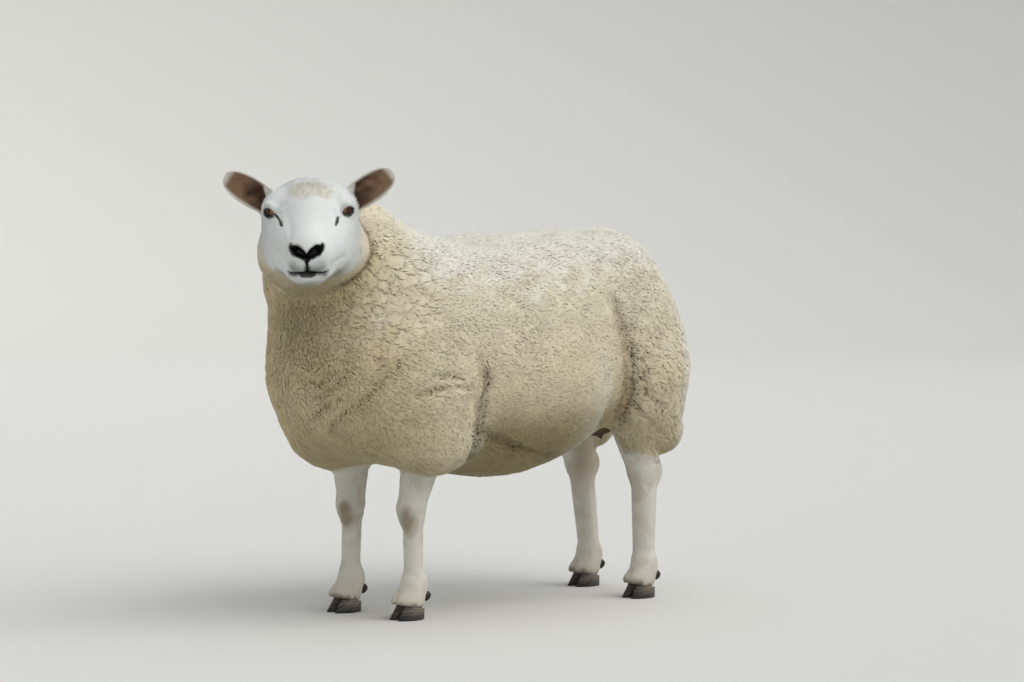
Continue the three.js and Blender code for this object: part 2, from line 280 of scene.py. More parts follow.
# ---------------- the animal's masses
@dataclass(frozen=True)
class Foot:
    """One leg, by where it stands.

    lean is how far the knee or hock stands from over the foot, arm how far the leg does
    where the fleece lets go of it, and cuff how high the end of the fleece's sleeve is.
    """

    name: str
    x: float
    y: float
    lean: tuple[float, float]
    arm: tuple[float, float]
    cuff: float
    fore: bool

    @property
    def side(self) -> float:
        """1 on the animal's left and -1 on its right."""
        return math.copysign(1.0, self.x)

    def sleeve(self) -> Limb:
        """The fleece that runs down the upper leg.

        Returns:
            A limb out to the wool's tips.
        """
        u, v = self.x + self.arm[0], self.y + self.arm[1]
        if self.fore:
            end = (u + self.side * 40, v - 9, self.cuff)
            return Limb((self.side * 116, -238, 425), end, (94, 75))
        return Limb((self.side * 124, 288, 432), (u, v + 6, self.cuff), (92, 58))

    def leg(self) -> Mass:
        """The bare leg from inside the fleece to inside the hoof.

        Returns:
            A mass out to the hair's tips.
        """
        x, y = self.x, self.y
        u, v = x + self.lean[0], y + self.lean[1]
        if self.fore:
            top = (x + self.arm[0], y + self.arm[1], 330)
            return Mass(
                Limb(top, (u, v, 215), (44, 27)),
                (
                    (Egg((u, v - 3, 202), (26, 27, 34)), 14),  # knee
                    (Limb((u, v + 2, 185), (x, y + 10, 84), (20.5, 19.5)), 12),  # cannon
                    (Egg((x, y + 12, 62), (26, 29, 26)), 18),  # fetlock
                    (Egg((x, y - 4, 34), (30, 34, 24)), 18),  # pastern
                ),
            )
        return Mass(
            Limb((u, v - 18, 340), (u, v - 2, 262), (51, 33)),
            (
                (Egg((u, v + 9, 250), (25, 40, 36)), 14),  # hock
                (Limb((u, v + 4, 236), (x, y + 8, 84), (27, 22.5)), 14),  # cannon
                (Egg((x, y + 10, 60), (26, 30, 27)), 18),  # fetlock
                (Egg((x, y - 5, 34), (30, 34, 24)), 18),  # pastern
            ),
        )

    def above_hair(self, p: Array) -> Array:
        """How far each point lies above the leg's short hair: on a hind leg, more within.

        Args:
            p: Points in the body's frame.

        Returns:
            A height in millimetres for each point.
        """
        if self.fore:
            return p[:, 2] - self.cuff + 62.0
        within = ramp(4.0, -24.0, (p[:, 0] - self.x) * self.side)
        return p[:, 2] - 264.0 - 150.0 * within

    def hollows(self) -> tuple["Crease", ...]:
        """The hollows between the tendons and the bones, and over the cleft of the hoof.

        Returns:
            The hollows, as creases.
        """
        x, y = self.x, self.y
        u, v = x + self.lean[0], y + self.lean[1]
        found = [
            Crease(((x, y - 42, 18), (x, y - 34, 40), (x, y - 28, 54)), 4.0, 4.5),
            Crease(((x, y + 30, 16), (x, y + 38, 40)), 4.0, 5.0),
        ]
        for side in (-1, 1):
            high = 182 if self.fore else 222
            line = ((u + side * 19, v + 9, high), (x + side * 18, y + 15, 92))
            found.append(Crease(line, 2.4, 5.0))
            if self.fore:
                found.append(Crease(((u + side * 24, v + 6, 225), (u + side * 24, v + 4, 200)), 2, 7))
            else:
                line = ((u + side * 24, v - 4, 336), (u + side * 22, v + 12, 272))
                found.append(Crease(line, 4.5, 8.0))
        return tuple(found)


@dataclass(frozen=True)
class Hoof:
    """The sizes of a hoof's two claws and of the buds of horn behind it."""

    length: float = 60.0
    width: float = 28.0
    toe: float = 32.0
    heel: float = 20.0
    slope: float = 0.7
    ahead: float = 8.0
    cleft: float = 0.8
    bud_apart: float = 14.0
    bud_behind: float = 29.0
    bud_high: float = 43.0
    bud_length: float = 21.0
    bud_radius: float = 9.0

    def above_coronet(self, p: Array, foot: Foot) -> Array:
        """How far each point lies above the plane where hair meets horn.

        Args:
            p: Points in the body's frame.
            foot: The foot that the hoof is on.

        Returns:
            A height in millimetres for each point.
        """
        middle = np.array([foot.x, foot.y, (self.toe + self.heel) / 2 - 4])
        up = np.array([0.0, (self.toe - self.heel) / self.length, 1.0])
        return (p - middle) @ (up / norm(up))


@dataclass(frozen=True)
class Head:
    """The head in its own frame, where -Y is to the nose and the eyes' middle is zero."""

    at: Triple = (97, -509, 765)
    yaw: float = 51.0
    pitch: float = 24.0
    roll: float = -1.4
    core: Mass = Mass(
        Egg((0, 46, -14), (80, 66, 56)),  # braincase
        (
            (Egg((0, 2, -12), (64, 58, 46)), 26),  # forehead
            (Egg((60, 22, 0), (26, 30, 24), True), 18),  # brow
            (Limb((0, -20, -20), (0, -104, -28), (50, 36)), 26),  # bridge of the nose
            (Egg((0, -106, -38), (44, 38, 37)), 22),  # muzzle
            (Egg((0, -90, -74), (43, 42, 28)), 16),  # chin
            (Egg((34, -44, -40), (36, 56, 40), True), 26),  # side of the face
            (Egg((50, 20, -60), (41, 58, 60), True), 30),  # cheek
            (Egg((0, -16, -78), (69, 76, 42)), 26),  # jaw
        ),
    )
    ruff: Egg = Egg((6, 42, -105), (109, 70, 82))

    def turn(self) -> Array:
        """The head's three axes, as columns in the body's frame.

        Returns:
            Three rows of three.
        """
        yaw = Matrix.Rotation(math.radians(self.yaw), 3, "Z")
        pitch = Matrix.Rotation(math.radians(self.pitch), 3, "X")
        roll = Matrix.Rotation(math.radians(self.roll), 3, "Y")
        return np.array(yaw @ pitch @ roll)

    def into(self, p: Array) -> Array:
        """Points of the body's frame as the head's own."""
        return (p - np.array(self.at)) @ self.turn()

    def out(self, h: Array) -> Array:
        """Points of the head's own frame as the body's."""
        return h @ self.turn().T + np.array(self.at)

    def around(self, h: Array, reach: float, ahead: float = 20.0) -> Array:
        """Whether each point of the head's frame lies within a reach of the skull's middle."""
        return norm(h - np.array([0.0, -ahead, -20.0]), axis=1) < reach


@dataclass(frozen=True)
class Ear:
    """A cupped ear that opens forwards, in the head's frame."""

    side: float
    root: Triple = (66, 48, -8)
    tip: Triple = (153, 52, 52)
    width: float = 30.0
    cup: float = 12.0
    widest: float = 0.45
    hairy: float = 6.0  # the ear's thickness out to the hair

    def axes(self) -> tuple[Array, float, Array, Array, Array]:
        """The ear's root and length, and the ways it runs, faces and widens.

        Returns:
            The root, the length in millimetres and three unit directions.
        """
        mirror = np.array([self.side, 1.0, 1.0])
        root = np.array(self.root) * mirror
        axis = np.array(self.tip) * mirror - root
        length = norm(axis)
        axis = axis / length
        facing = unit(np.array([0.0, -1.0, 0.0]) + axis * axis[1])
        return root, length, axis, facing, np.cross(facing, axis)

    def place(self, h: Array) -> tuple[Array, Array, Array, Array]:
        """Where points of the head's frame lie on the ear.

        Args:
            h: Points in the head's frame.

        Returns:
            The share along from root to tip, the place across, how far in front of the
            ear's middle sheet, and the half width there, the last three in millimetres.
        """
        root, length, axis, facing, wide = self.axes()
        r = h - root
        along = r @ axis / length
        t = np.clip(along, 0.0, 1.0)
        rise = np.minimum(t / self.widest, 1.0)
        fall = np.maximum(t - self.widest, 0.0) / (1.015 - self.widest)
        swell = 0.8 + 0.2 * np.sin(rise * math.pi / 2)
        half = self.width * swell * np.sqrt(1.0 - fall**2.4)
        across = r @ wide
        s = np.clip(across / np.maximum(half, 1.0), -1.0, 1.0)
        middle = self.cup * (1.0 - 0.45 * t) * (s * s - 0.5)
        return along, across, r @ facing - middle, half

    def distance(self, h: Array, thick: float) -> Array:
        """The signed distance of each point to an ear of this thickness.

        Args:
            h: Points in the head's frame.
            thick: The ear's thickness in millimetres.

        Returns:
            One distance for each point.
        """
        length = self.axes()[1]
        along, across, before, half = self.place(h)
        edge = thick / 2
        end = np.maximum((along - 1.0) * length + edge, -along * length - 24.0)
        out = np.column_stack([np.abs(across) - half + edge, np.abs(before), end])
        return norm(np.maximum(out, 0.0), axis=1) - edge


FEET = (
    Foot("front_left", 77, -262, (3, 4), (8, 30), 353, True),
    Foot("front_right", -91, -282, (7, 6), (-7, 15), 370, True),
    Foot("hind_left", 112, 296, (3, 2), (9, 24), 338, False),
    Foot("hind_right", -102, 341, (-6, -10), (-8, 14), 338, False),
)


@dataclass(frozen=True)
class Body:
    """The whole animal as one distance field, out to the tips of its coat."""

    head: Head = Head()
    hoof: Hoof = Hoof()
    feet: tuple[Foot, ...] = FEET
    ears: tuple[Ear, Ear] = (Ear(1.0), Ear(-1.0))
    ear_thick: float = 4.5
    face_spread: float = -2.0  # how far the face's short hair runs on over the ruff
    trunk: Mass = Mass(
        Egg((0, -20, 468), (236, 305, 218)),  # barrel and belly
        (
            (Limb((62, -200, 583), (68, 218, 613), (118, 112), True), 90),  # back
            (Egg((106, -245, 472), (104, 150, 188), True), 70),  # shoulder
            (Egg((0, -325, 450), (158, 162, 143)), 90),  # breast
            (Egg((-116, -302, 384), (84, 86, 108)), 50),  # brisket
            (Egg((0, 232, 555), (166, 158, 156)), 80),  # rump
            (Egg((122, 262, 484), (86, 128, 160), True), 36),  # haunch
        ),
    )
    neck: Mass = Mass(
        Limb((0, -250, 566), (8, -340, 668), (148, 108)),
        (
            (Limb((8, -340, 668), (14, -400, 722), (106, 82)), 50),  # crest
            (Limb((0, -340, 490), (-44, -364, 636), (138, 119)), 60),  # throat
        ),
    )
    tail: Limb = Limb((0, 368, 640), (0, 406, 528), (34, 21))
    udder: Mass = Mass(
        Egg((0, 272, 354), (58, 47, 40)),
        ((Limb((25, 267, 330), (29, 260, 307), (8, 5.5), True), 8),),  # teats
    )

    def fleece(self, p: Array) -> Array:
        """The signed distance to the masses that carry wool, but for the ruff.

        Args:
            p: Points in the body's frame.

        Returns:
            One distance for each point.
        """
        d = blend(self.trunk.distance(p), self.neck.distance(p), 70)
        for foot in self.feet:
            d = blend(d, foot.sleeve().distance(p), 40)
        return blend(d, self.tail.distance(p), 14)

    def both(self, p: Array, ear_thick: float) -> tuple[Array, Array]:
        """The whole outline, and where wool gives way to hair.

        Args:
            p: Points in the body's frame.
            ear_thick: The thickness to give the ears, in millimetres.

        Returns:
            The signed distance to the outline, and the distance to the short-haired
            masses less that to the woolly ones, both in millimetres.
        """
        h = self.head.into(p)
        fleece = self.fleece(p)
        core = self.head.core.distance(h)
        ruff = self.head.ruff.distance(h)
        outline = blend(fleece, blend(core, ruff, 20), 18)
        bare = core
        for foot in self.feet:
            leg = foot.leg().distance(p)
            leg = np.maximum(leg, -self.hoof.above_coronet(p, foot))
            outline = blend(outline, leg, 8)
            bare = np.minimum(bare, np.maximum(leg, foot.above_hair(p)))
        for ear in self.ears:
            d = ear.distance(h, ear_thick)
            outline = blend(outline, d, 13)
            bare = np.minimum(bare, d)
        d = self.udder.distance(p)
        outline = blend(outline, d, 8)
        bare = np.minimum(bare, d)
        low = ramp(-55.0, -95.0, h[:, 2]) * ramp(0.0, 50.0, h[:, 0])
        aside = ramp(40.0, 80.0, h[:, 0]) * (1.0 - low)
        close = ramp(HEAD_REACH, HEAD_REACH - 60.0, norm(h, axis=1))
        spread = (self.face_spread + 9.0 * low - 6.0 * aside) * close
        return outline, bare - np.minimum(fleece + 0.5 * spread, ruff + spread)

    def seam(self, p: Array) -> Array:
        """How close each point lies to the fold behind the ruff: 1 in it and 0 away from it.

        Args:
            p: Points in the body's frame.

        Returns:
            From 0 to 1 for each point.
        """
        h = self.head.into(p)
        ruff = self.head.ruff.distance(h)
        behind = ramp(20.0, 70.0, h[:, 0]) * ramp(40.0, 15.0, ruff)
        return np.exp(-(((ruff - self.fleece(p) + 2.0) / 8.0) ** 2)) * behind

    def on_ruff(self, p: Array) -> Array:
        """1 on the short smooth wool of the ruff and 0 on the rest of the fleece."""
        ruff = self.head.ruff.distance(self.head.into(p))
        return ramp(0.0, 9.0, self.fleece(p) - ruff) * ramp(60.0, 30.0, ruff)

    def outline(self, p: Array) -> Array:
        """The signed distance to the tips of the coat."""
        return self.both(p, self.ear_thick)[0]

    def woolly(self, p: Array) -> Array:
        """How far each point is on the wool's side of its edge, in millimetres."""
        return self.both(p, self.ear_thick)[1]

    def woolness(self, p: Array) -> Array:
        """0 where the coat is short hair and 1 where it is wool."""
        return ramp(-7.0, 7.0, self.woolly(p))


def slope(distance: Field, p: Array, e: float = 0.5) -> tuple[Array, Array]:
    """The distance and its gradient.

    Args:
        distance: The field.
        p: Points in the field.
        e: How far apart it is looked at, in millimetres.

    Returns:
        The distance, and three numbers for each point.
    """
    d = distance(p)
    g = np.empty_like(p)
    for axis in range(3):
        q = p.copy()
        q[:, axis] += e
        g[:, axis] = (distance(q) - d) / e
    return d, g


def settle(distance: Field, p: Array, reach: float, steps: int = 3) -> tuple[Array, Array]:
    """Moves points on to the surface of a field.

    Args:
        distance: The field.
        p: The points.
        reach: How far a point may move at each step, in millimetres.
        steps: How many steps are taken.

    Returns:
        The moved points, and the surface's outward normal at each.
    """
    p = p.copy()
    for _ in range(steps):
        d, g = slope(distance, p)
        move = -(d / np.maximum((g * g).sum(axis=1), 0.05))[:, None] * g
        far = np.maximum(norm(move, axis=1, keepdims=True) / reach, 1.0)
        p += move / far
    return p, unit(g)


# ---------------- folds of the fleece
@dataclass(frozen=True)
class Crease:
    """A line along which the fleece is parted or folded in."""

    points: tuple[Triple, ...]
    deep: float
    half: float
    pair: bool = False

    def dip(self, p: Array) -> Array:
        """How far the fleece dips at each point, in millimetres."""
        d = Cord(self.points, self.pair).distance(p)
        return self.deep * np.exp(-((d / self.half) ** 2))


@dataclass(frozen=True)
class Pleats:
    """Many creases side by side in one soft-edged patch, uneven in their run and depth."""

    at: Triple
    reach: Triple
    across: Triple
    apart: float
    deep: float
    half: float
    wander: float
    seed: int
    pair: bool = True

    def dip(self, p: Array) -> Array:
        """How far the fleece dips at each point, in millimetres.

        Args:
            p: Points in the body's frame.

        Returns:
            A depth for each point.
        """
        q = mirrored(p) if self.pair else p
        share = away(q, self.at, self.reach)
        run = q @ unit(np.array(self.across))
        run = run + self.wander * Ripple(self.apart * 3.2, self.seed).at(p)
        off = run - self.apart * np.round(run / self.apart)
        fade = ramp(-0.7, 0.6, Ripple(self.apart * 2.2, self.seed + 2).at(p))
        return self.deep * ramp(1.0, 0.5, share) * fade * np.exp(-((off / self.half) ** 2))


@dataclass(frozen=True)
class Relief:
    """How far the fleece dips below the plain outline."""

    body: Body
    seam_deep: float = 9.0  # how deep the fold between ruff and neck is, in millimetres
    folds: tuple[Crease | Pleats, ...] = (
        Crease(((222, -205, 500), (221, -193, 453)), 5, 16, True),  # elbow
        Crease(((221, -193, 453), (220, -196, 436), (212, -198, 396)), 11, 13, True),
        Crease(((212, -198, 396), (201, -197, 359), (182, -187, 321), (150, -170, 290)), 15, 14, True),
        Crease(((201, -197, 359), (175, -125, 334), (166, -73, 317)), 9, 11, True),  # belly
        Crease(((166, -73, 317), (155, -10, 303), (125, 57, 291)), 6, 11, True),
        Crease(((206, 150, 590), (205, 178, 520), (196, 192, 450), (160, 200, 360)), 8, 22, True),
        Crease(((202, 193, 500), (199, 192, 470), (192, 200, 415), (166, 200, 368)), 4.6, 8, True),
        Crease(((204, 210, 506), (205, 213, 457), (202, 223, 408)), 5.4, 6.8, True),
        Crease(((203, 216, 420), (202, 250, 396), (201, 286, 376)), 4.6, 6.8, True),
        Crease(((188, 206, 392), (181, 269, 346), (173, 313, 314)), 5, 6.8, True),
        Crease(((59, -500, 517), (105, -475, 519), (129, -458, 539)), 9.6, 5.4),  # breast
        Crease(((43, -498, 481), (89, -480, 485), (125, -456, 508), (146, -433, 525)), 11.3, 5.4),
        Crease(((45, -493, 450), (78, -479, 448), (106, -466, 466), (130, -449, 484)), 11.3, 5.9),
        Crease(((69, -477, 421), (90, -468, 429), (128, -448, 469), (141, -436, 480)), 9.6, 5.4),
        Crease(((67, -440, 359), (83, -445, 374), (115, -438, 398), (147, -420, 424)), 9.6, 4.9),
        Crease(((147, -420, 424), (169, -398, 452), (180, -382, 477), (185, -369, 494)), 11.3, 4.9),
        Crease(((54, -468, 388), (80, -464, 403), (111, -452, 421)), 8.8, 5.4),
        Crease(((154, -422, 525), (160, -412, 502), (170, -399, 483)), 9.6, 5.4),
        Crease(((95, -491, 544), (126, -467, 554)), 8.1, 5.4),
        Crease(((155, -447, 606), (151, -430, 561), (156, -419, 533)), 8.8, 6.5),
        Crease(((209, -305, 462), (216, -279, 462), (221, -246, 457)), 9.6, 4.9, True),
        Crease(((196, -338, 426), (209, -305, 436), (219, -270, 442), (222, -229, 438)), 8.8, 5.4, True),
        Pleats((-90, -430, 450), (110, 120, 130), (-0.35, 0, 1), 27, 3, 5.5, 9, 11, False),
        Pleats((-60, -440, 570), (110, 120, 90), (0.5, 0, 1), 25, 3, 5.5, 8, 12, False),
        Pleats((205, 235, 470), (60, 70, 150), (0, 1, 0.12), 14, 3, 4.2, 5, 13),
        Pleats((190, 330, 430), (90, 130, 170), (0, 0.62, 0.78), 17, 3.4, 5, 8, 14),
        Pleats((210, -260, 380), (60, 90, 90), (0, 0.3, 1), 22, 2.5, 5, 8, 15),
    )

    def clumping(self, p: Array) -> Array:
        """How much the locks gather in clumps: most behind the cheeks and on the thighs.

        Args:
            p: Points in the body's frame.

        Returns:
            From 0 to 1 for each point.
        """
        neck = ramp(1.0, 0.4, away(p, (120, -350, 600), (130, 120, 150)))
        other = ramp(1.0, 0.4, away(p, (-130, -330, 600), (120, 110, 150)))
        thigh = ramp(1.0, 0.5, away(mirrored(p), (180, 280, 430), (110, 150, 180)))
        return np.maximum(np.maximum(neck, other), 0.45 * thigh)

    def cut(self, p: Array) -> Array:
        """How far the folds alone cut into the fleece at each point, in millimetres.

        Args:
            p: Points in the body's frame.

        Returns:
            A depth for each point.
        """
        seam = self.seam_deep * self.body.seam(p)
        wavy = p + 1.8 * np.column_stack([Ripple(22, seed).at(p) for seed in (23, 24, 25)])
        return sum((fold.dip(wavy) for fold in self.folds), seam)

    def dip(self, p: Array) -> Array:
        """How far the fleece dips at each point, in millimetres."""
        return self.cut(p) + 1.4 * Ripple(95, 21).at(p) + 0.7 * Ripple(34, 22).at(p) + 1.0


# ---------------- the face
@dataclass(frozen=True)
class Eye:
    """An eye and the opening of its lids, in the head's frame."""

    side: float
    at: Triple = (65, -1, 2)
    radius: float = 14.0
    look: Triple = (0.50, -0.84, 0.20)
    half_wide: float = 11.6
    half_high: tuple[float, float] = (8.2, 7.4)
    tilt: float = 14.0
    lid: float = 1.7

    def axes(self) -> tuple[Array, Array, Array]:
        """Forward along the lids, up across them, and out along the look.

        Returns:
            Three unit directions in the head's frame.
        """
        out = unit(np.array(self.look) * np.array([self.side, 1, 1]))
        fore = unit(np.array([0.0, -1.0, 0.0]) + out * out[1])
        up = np.cross(fore, out) * -self.side
        turn = math.radians(self.tilt)
        ahead = fore * math.cos(turn) - up * math.sin(turn)
        return ahead, up * math.cos(turn) + fore * math.sin(turn), out

    def centre(self) -> Array:
        """The middle of the ball."""
        return np.array(self.at) * np.array([self.side, 1, 1])

    def off(self, h: Array) -> Array:
        """How far each point of the head's frame lies from the middle of the ball."""
        return norm(h - self.centre(), axis=1)

    def lids(self, h: Array) -> tuple[Array, Array, Array]:
        """Where points lie on the lids.

        Args:
            h: Points in the head's frame.

        Returns:
            A measure that is below 1 in the opening, the height above the corners' line,
            and how far out each point lies, the last two in millimetres.
        """
        ahead, up, out = self.axes()
        r = h - self.centre()
        a, b, c = r @ ahead, r @ up, r @ out
        high = np.where(b > 0, self.half_high[0], self.half_high[1])
        measure = (np.abs(a) / self.half_wide) ** 1.7 + (np.abs(b) / high) ** 1.7
        return np.where(c > 0, measure ** (1 / 1.7), 9.0), b, c


EYES = (Eye(1.0), Eye(-1.0))


@lru_cache(maxsize=None)
def laid_on(head: Head, points: tuple[tuple[float, ...], ...]) -> tuple[Array, Array]:
    """A line's points, half a millimetre apart and moved on to the head, and its half width.

    Args:
        head: The head.
        points: The line's corners in the head's frame, each with half the line's width.

    Returns:
        The points and the half widths.
    """
    rows = np.array(points, float)
    along = np.concatenate([[0], np.cumsum(norm(np.diff(rows[:, :3], axis=0), axis=1))])
    places = np.arange(0.0, along[-1], 0.5)
    beads = np.column_stack([np.interp(places, along, column) for column in rows.T])
    laid, _ = settle(lambda h: head.core.distance(h) + 1.5, beads[:, :3], 8.0, 5)
    return laid, beads[:, 3]


@dataclass(frozen=True)
class Trace:
    """A line along the skin of the head, on both sides, with half its width at each corner."""

    points: tuple[tuple[float, float, float, float], ...]

    def distance(self, h: Array) -> Array:
        """How far each point lies from the line's edge, in millimetres, below zero on it.

        Args:
            h: Points in the head's frame.

        Returns:
            One distance for each point.
        """
        beads, half = laid_on(Head(), self.points)
        q = mirrored(h)
        found = np.full(len(h), 40.0)
        spare = 16.0 + half.max()
        near = np.all((q > beads.min(axis=0) - spare) & (q < beads.max(axis=0) + spare), axis=1)
        spot = q[near]
        best = np.full(len(spot), 40.0)
        for bead, wide in zip(beads, half):
            best = np.minimum(best, norm(spot - bead, axis=1) - wide)
        found[near] = best
        return found


NOSTRIL = Trace(
    ((27, -131, -13, 5), (20, -138, -15, 9.5), (12, -143, -18, 8.5))
    + ((6, -146, -22.5, 6.5), (0, -147, -27, 5))
)
COMMA = Trace(((31.5, -126, -7, 1.8), (30, -128, -11, 3), (25, -133, -14, 3)))
SLIT = Trace(((0, -147, -26, 3), (0, -147, -33, 3), (0, -147, -38, 1.7), (0, -143, -57, 1.7)))
LIPS = Trace(
    ((0, -142, -57, 2.6), (10, -140, -59.5, 2.3), (20, -134, -62.5, 1.9))
    + ((30, -123, -66, 1), (39, -111, -68.5, 0.3))
)
TEAR = Trace(((56, -36, 3.5, 2.2), (54, -48, 0.5, 3.2), (51.5, -59, -2, 1.2)))
STREAK = Trace(((60, -22, 5, 1.8), (54, -40, 4, 2), (49, -56, 2.5, 3.4), (47, -63, 1, 1.5)))


@dataclass(frozen=True)
class Dent:
    """A hollow along a line on the face, on both sides. A ridge has deep below 0."""

    line: Trace | Cord
    deep: float
    edge: float  # how far out from the line's edge the hollow starts
    floor: float = 0.0  # how far in from the line's edge it is deepest

    def depth(self, h: Array) -> Array:
        """How deep the skin is pressed in at each point, in millimetres."""
        return self.deep * ramp(self.edge, -self.floor, self.line.distance(h))


def ridge(points: tuple[Triple, ...], high: float, half: float) -> Dent:
    """A soft ridge along a line in the head's frame, or a hollow where high is below 0."""
    return Dent(Cord(points, True), -high, half)


@dataclass(frozen=True)
class Face:
    """The folds of the face, pressed into the skin."""

    body: Body
    dents: tuple[Dent, ...] = (
        Dent(NOSTRIL, 10.0, 1.0, 6.0),
        Dent(COMMA, 3.5, 1.0, 2.0),
        Dent(SLIT, 3.0, 1.4, 1.4),
        Dent(LIPS, 5.0, 1.5, 1.8),
        Dent(TEAR, 2.0, 4.0, 1.5),
        ridge(((33, -120, -3), (26, -130, -3), (17, -138, -7), (9, -144, -13)), 1.8, 6.0),
        ridge(((31, -125, -19), (22, -134, -24), (12, -142, -31)), 1.6, 6.0),  # nostril's wing
        ridge(((8, -143, -47), (20, -137, -50), (34, -120, -54)), 2.2, 9.0),  # upper lip
        ridge(((0, -139, -68), (16, -134, -70), (32, -118, -73)), 2.0, 7.0),  # lower lip
        ridge(((52, -28, 17), (66, -14, 20), (80, 6, 18)), 3.6, 10.0),  # brow
        ridge(((54, -20, -17), (68, -6, -18), (80, 8, -13)), -1.6, 5.0),  # under the eye
        ridge(((24, -108, -6), (30, -72, 2), (34, -40, 10)), -1.6, 11.0),  # beside the nose bone
        ridge(((48, -64, -22), (60, -34, -24), (74, -6, -28)), 2.4, 13.0),  # cheekbone
        ridge(((49, -94, -58), (55, -78, -57), (60, -62, -64)), -2.0, 8.0),  # behind the mouth
    )

    def press(self, p: Array, n: Array) -> Array:
        """Presses the face's folds into the skin.

        Args:
            p: The skin's points in the body's frame.
            n: Its outward normals.

        Returns:
            The moved points.
        """
        h = self.body.head.into(p)
        on = self.body.head.around(h, 190.0, 40.0)
        h, p = h[on], p.copy()
        depth = sum((dent.depth(h) for dent in self.dents), np.zeros(len(h)))
        for ear in self.body.ears:
            along, across, before, half = ear.place(h)
            s = np.abs(across) / np.maximum(half, 1.0)
            inside = (before > -0.6) & (along > 0.05) & (along < 1.0) & (s < 1.0)
            ribs = 0.5 * np.cos(s * 9.0) * ramp(1.0, 0.7, s) * ramp(0.0, 0.3, along)
            depth += np.where(inside & (np.abs(before) < 9), ribs, 0.0)
        h = h - self.body.head.into(n[on] + np.array(self.body.head.at)) * depth[:, None]
        for eye in EYES:
            h = self.lid(h, eye)
        p[on] = self.body.head.out(h)
        return p

    def lid(self, h: Array, eye: Eye) -> Array:
        """The skin round one eye, with its opening, its rims and the fold over it.

        Args:
            h: The skin's points in the head's frame.
            eye: The eye.

        Returns:
            The moved points.
        """
        measure, above, _ = eye.lids(h)
        centre = eye.centre()
        r = h - centre
        far = norm(r, axis=1, keepdims=True)
        ahead, up, _ = eye.axes()
        near = (measure < 2.6) & (far[:, 0] < 30)
        a, b = r @ ahead, r @ up
        edge = near & (np.abs(measure - 1.0) < 0.09)
        shift = np.where(edge, 1.0 / np.maximum(measure, 0.5) - 1.0, 0.0)
        r = r + (shift * a)[:, None] * ahead + (shift * b)[:, None] * up
        fold = np.where(near & (above > 0), np.exp(-(((measure - 1.62) * 7.0) / 1.5) ** 2), 0.0)
        under = np.where(near & (above < 0), np.exp(-(((measure - 1.7) * 6.0) / 1.5) ** 2), 0.0)
        rim = np.where(near, np.exp(-(((measure - 1.16) * 7.0) / 1.2) ** 2), 0.0)
        size = norm(r, axis=1, keepdims=True)
        change = 0.8 * rim - 1.3 * fold - 0.9 * under
        inside = near & (measure < 0.96)
        want = np.where(inside, eye.radius - 3.0 + 3.0 * ramp(0.8, 0.96, measure), size[:, 0] + change)
        return centre + r / np.maximum(size, 1e-6) * np.where(near, want, size[:, 0])[:, None]


# ---------------- colours
class Tint(Enum):
    """The animal's colours, as a screen shows them."""

    # paler wool, lightened further as painted light on the top and rump
    LIT_CREAM = (222, 220, 209)
    WOOL = (219, 207, 180)
    # stained wool in front, darkened as painted shade of the chest
    TAN = (194, 176, 138)
    # dirty wool, darkened as painted shade below and under the head
    DIRT_AND_SHADE = (150, 136, 102)
    WHITE = (219, 222, 221)
    POLL = (186, 178, 156)
    RUFF = (229, 222, 204)
    # painted shade under the jaw
    FACE_SHADE = (128, 130, 112)
    NOSE = (16, 15, 17)
    LIP = (74, 74, 74)
    LINE = (14, 11, 10)
    TEAR = (34, 26, 24)
    RIM = (20, 16, 15)
    EAR_DEEP = (60, 40, 28)
    EAR_IN = (138, 110, 88)
    EAR_RIM = (222, 214, 200)
    LEG = (212, 208, 198)
    KNEE = (142, 126, 100)
    PASTERN = (180, 170, 152)
    CORONET = (112, 104, 94)
    # pinkish skin inside the hind legs, darkened as painted shade between the legs
    INNER_SKIN_AND_SHADE = (164, 148, 122)
    # the udder's stained skin, darkened as painted shade between the thighs
    UDDER_STAIN_AND_SHADE = (92, 76, 58)
    AMBER = (168, 106, 64)
    # painted shadow of the upper lid on the iris
    BROWN = (52, 32, 24)
    EYE_WHITE = (58, 40, 32)
    HORN_PALE = (120, 108, 98)
    HORN_SLATE = (54, 50, 50)
    HORN_BLACK = (16, 15, 16)
    BUD = (30, 27, 27)

    @property
    def light(self) -> Array:
        """The colour as linear light."""
        return linear(*self.value)


def paint(base: Array, tint: Tint, strength: Array) -> Array:
    """The base colours with a tint laid over them.

    Args:
        base: Linear colours, three numbers for each point.
        tint: The colour to lay over.
        strength: From 0 to 1 for each point.

    Returns:
        The mixed colours.
    """
    s = np.clip(strength, 0.0, 1.0)[:, None]
    return base * (1.0 - s) + tint.light * s


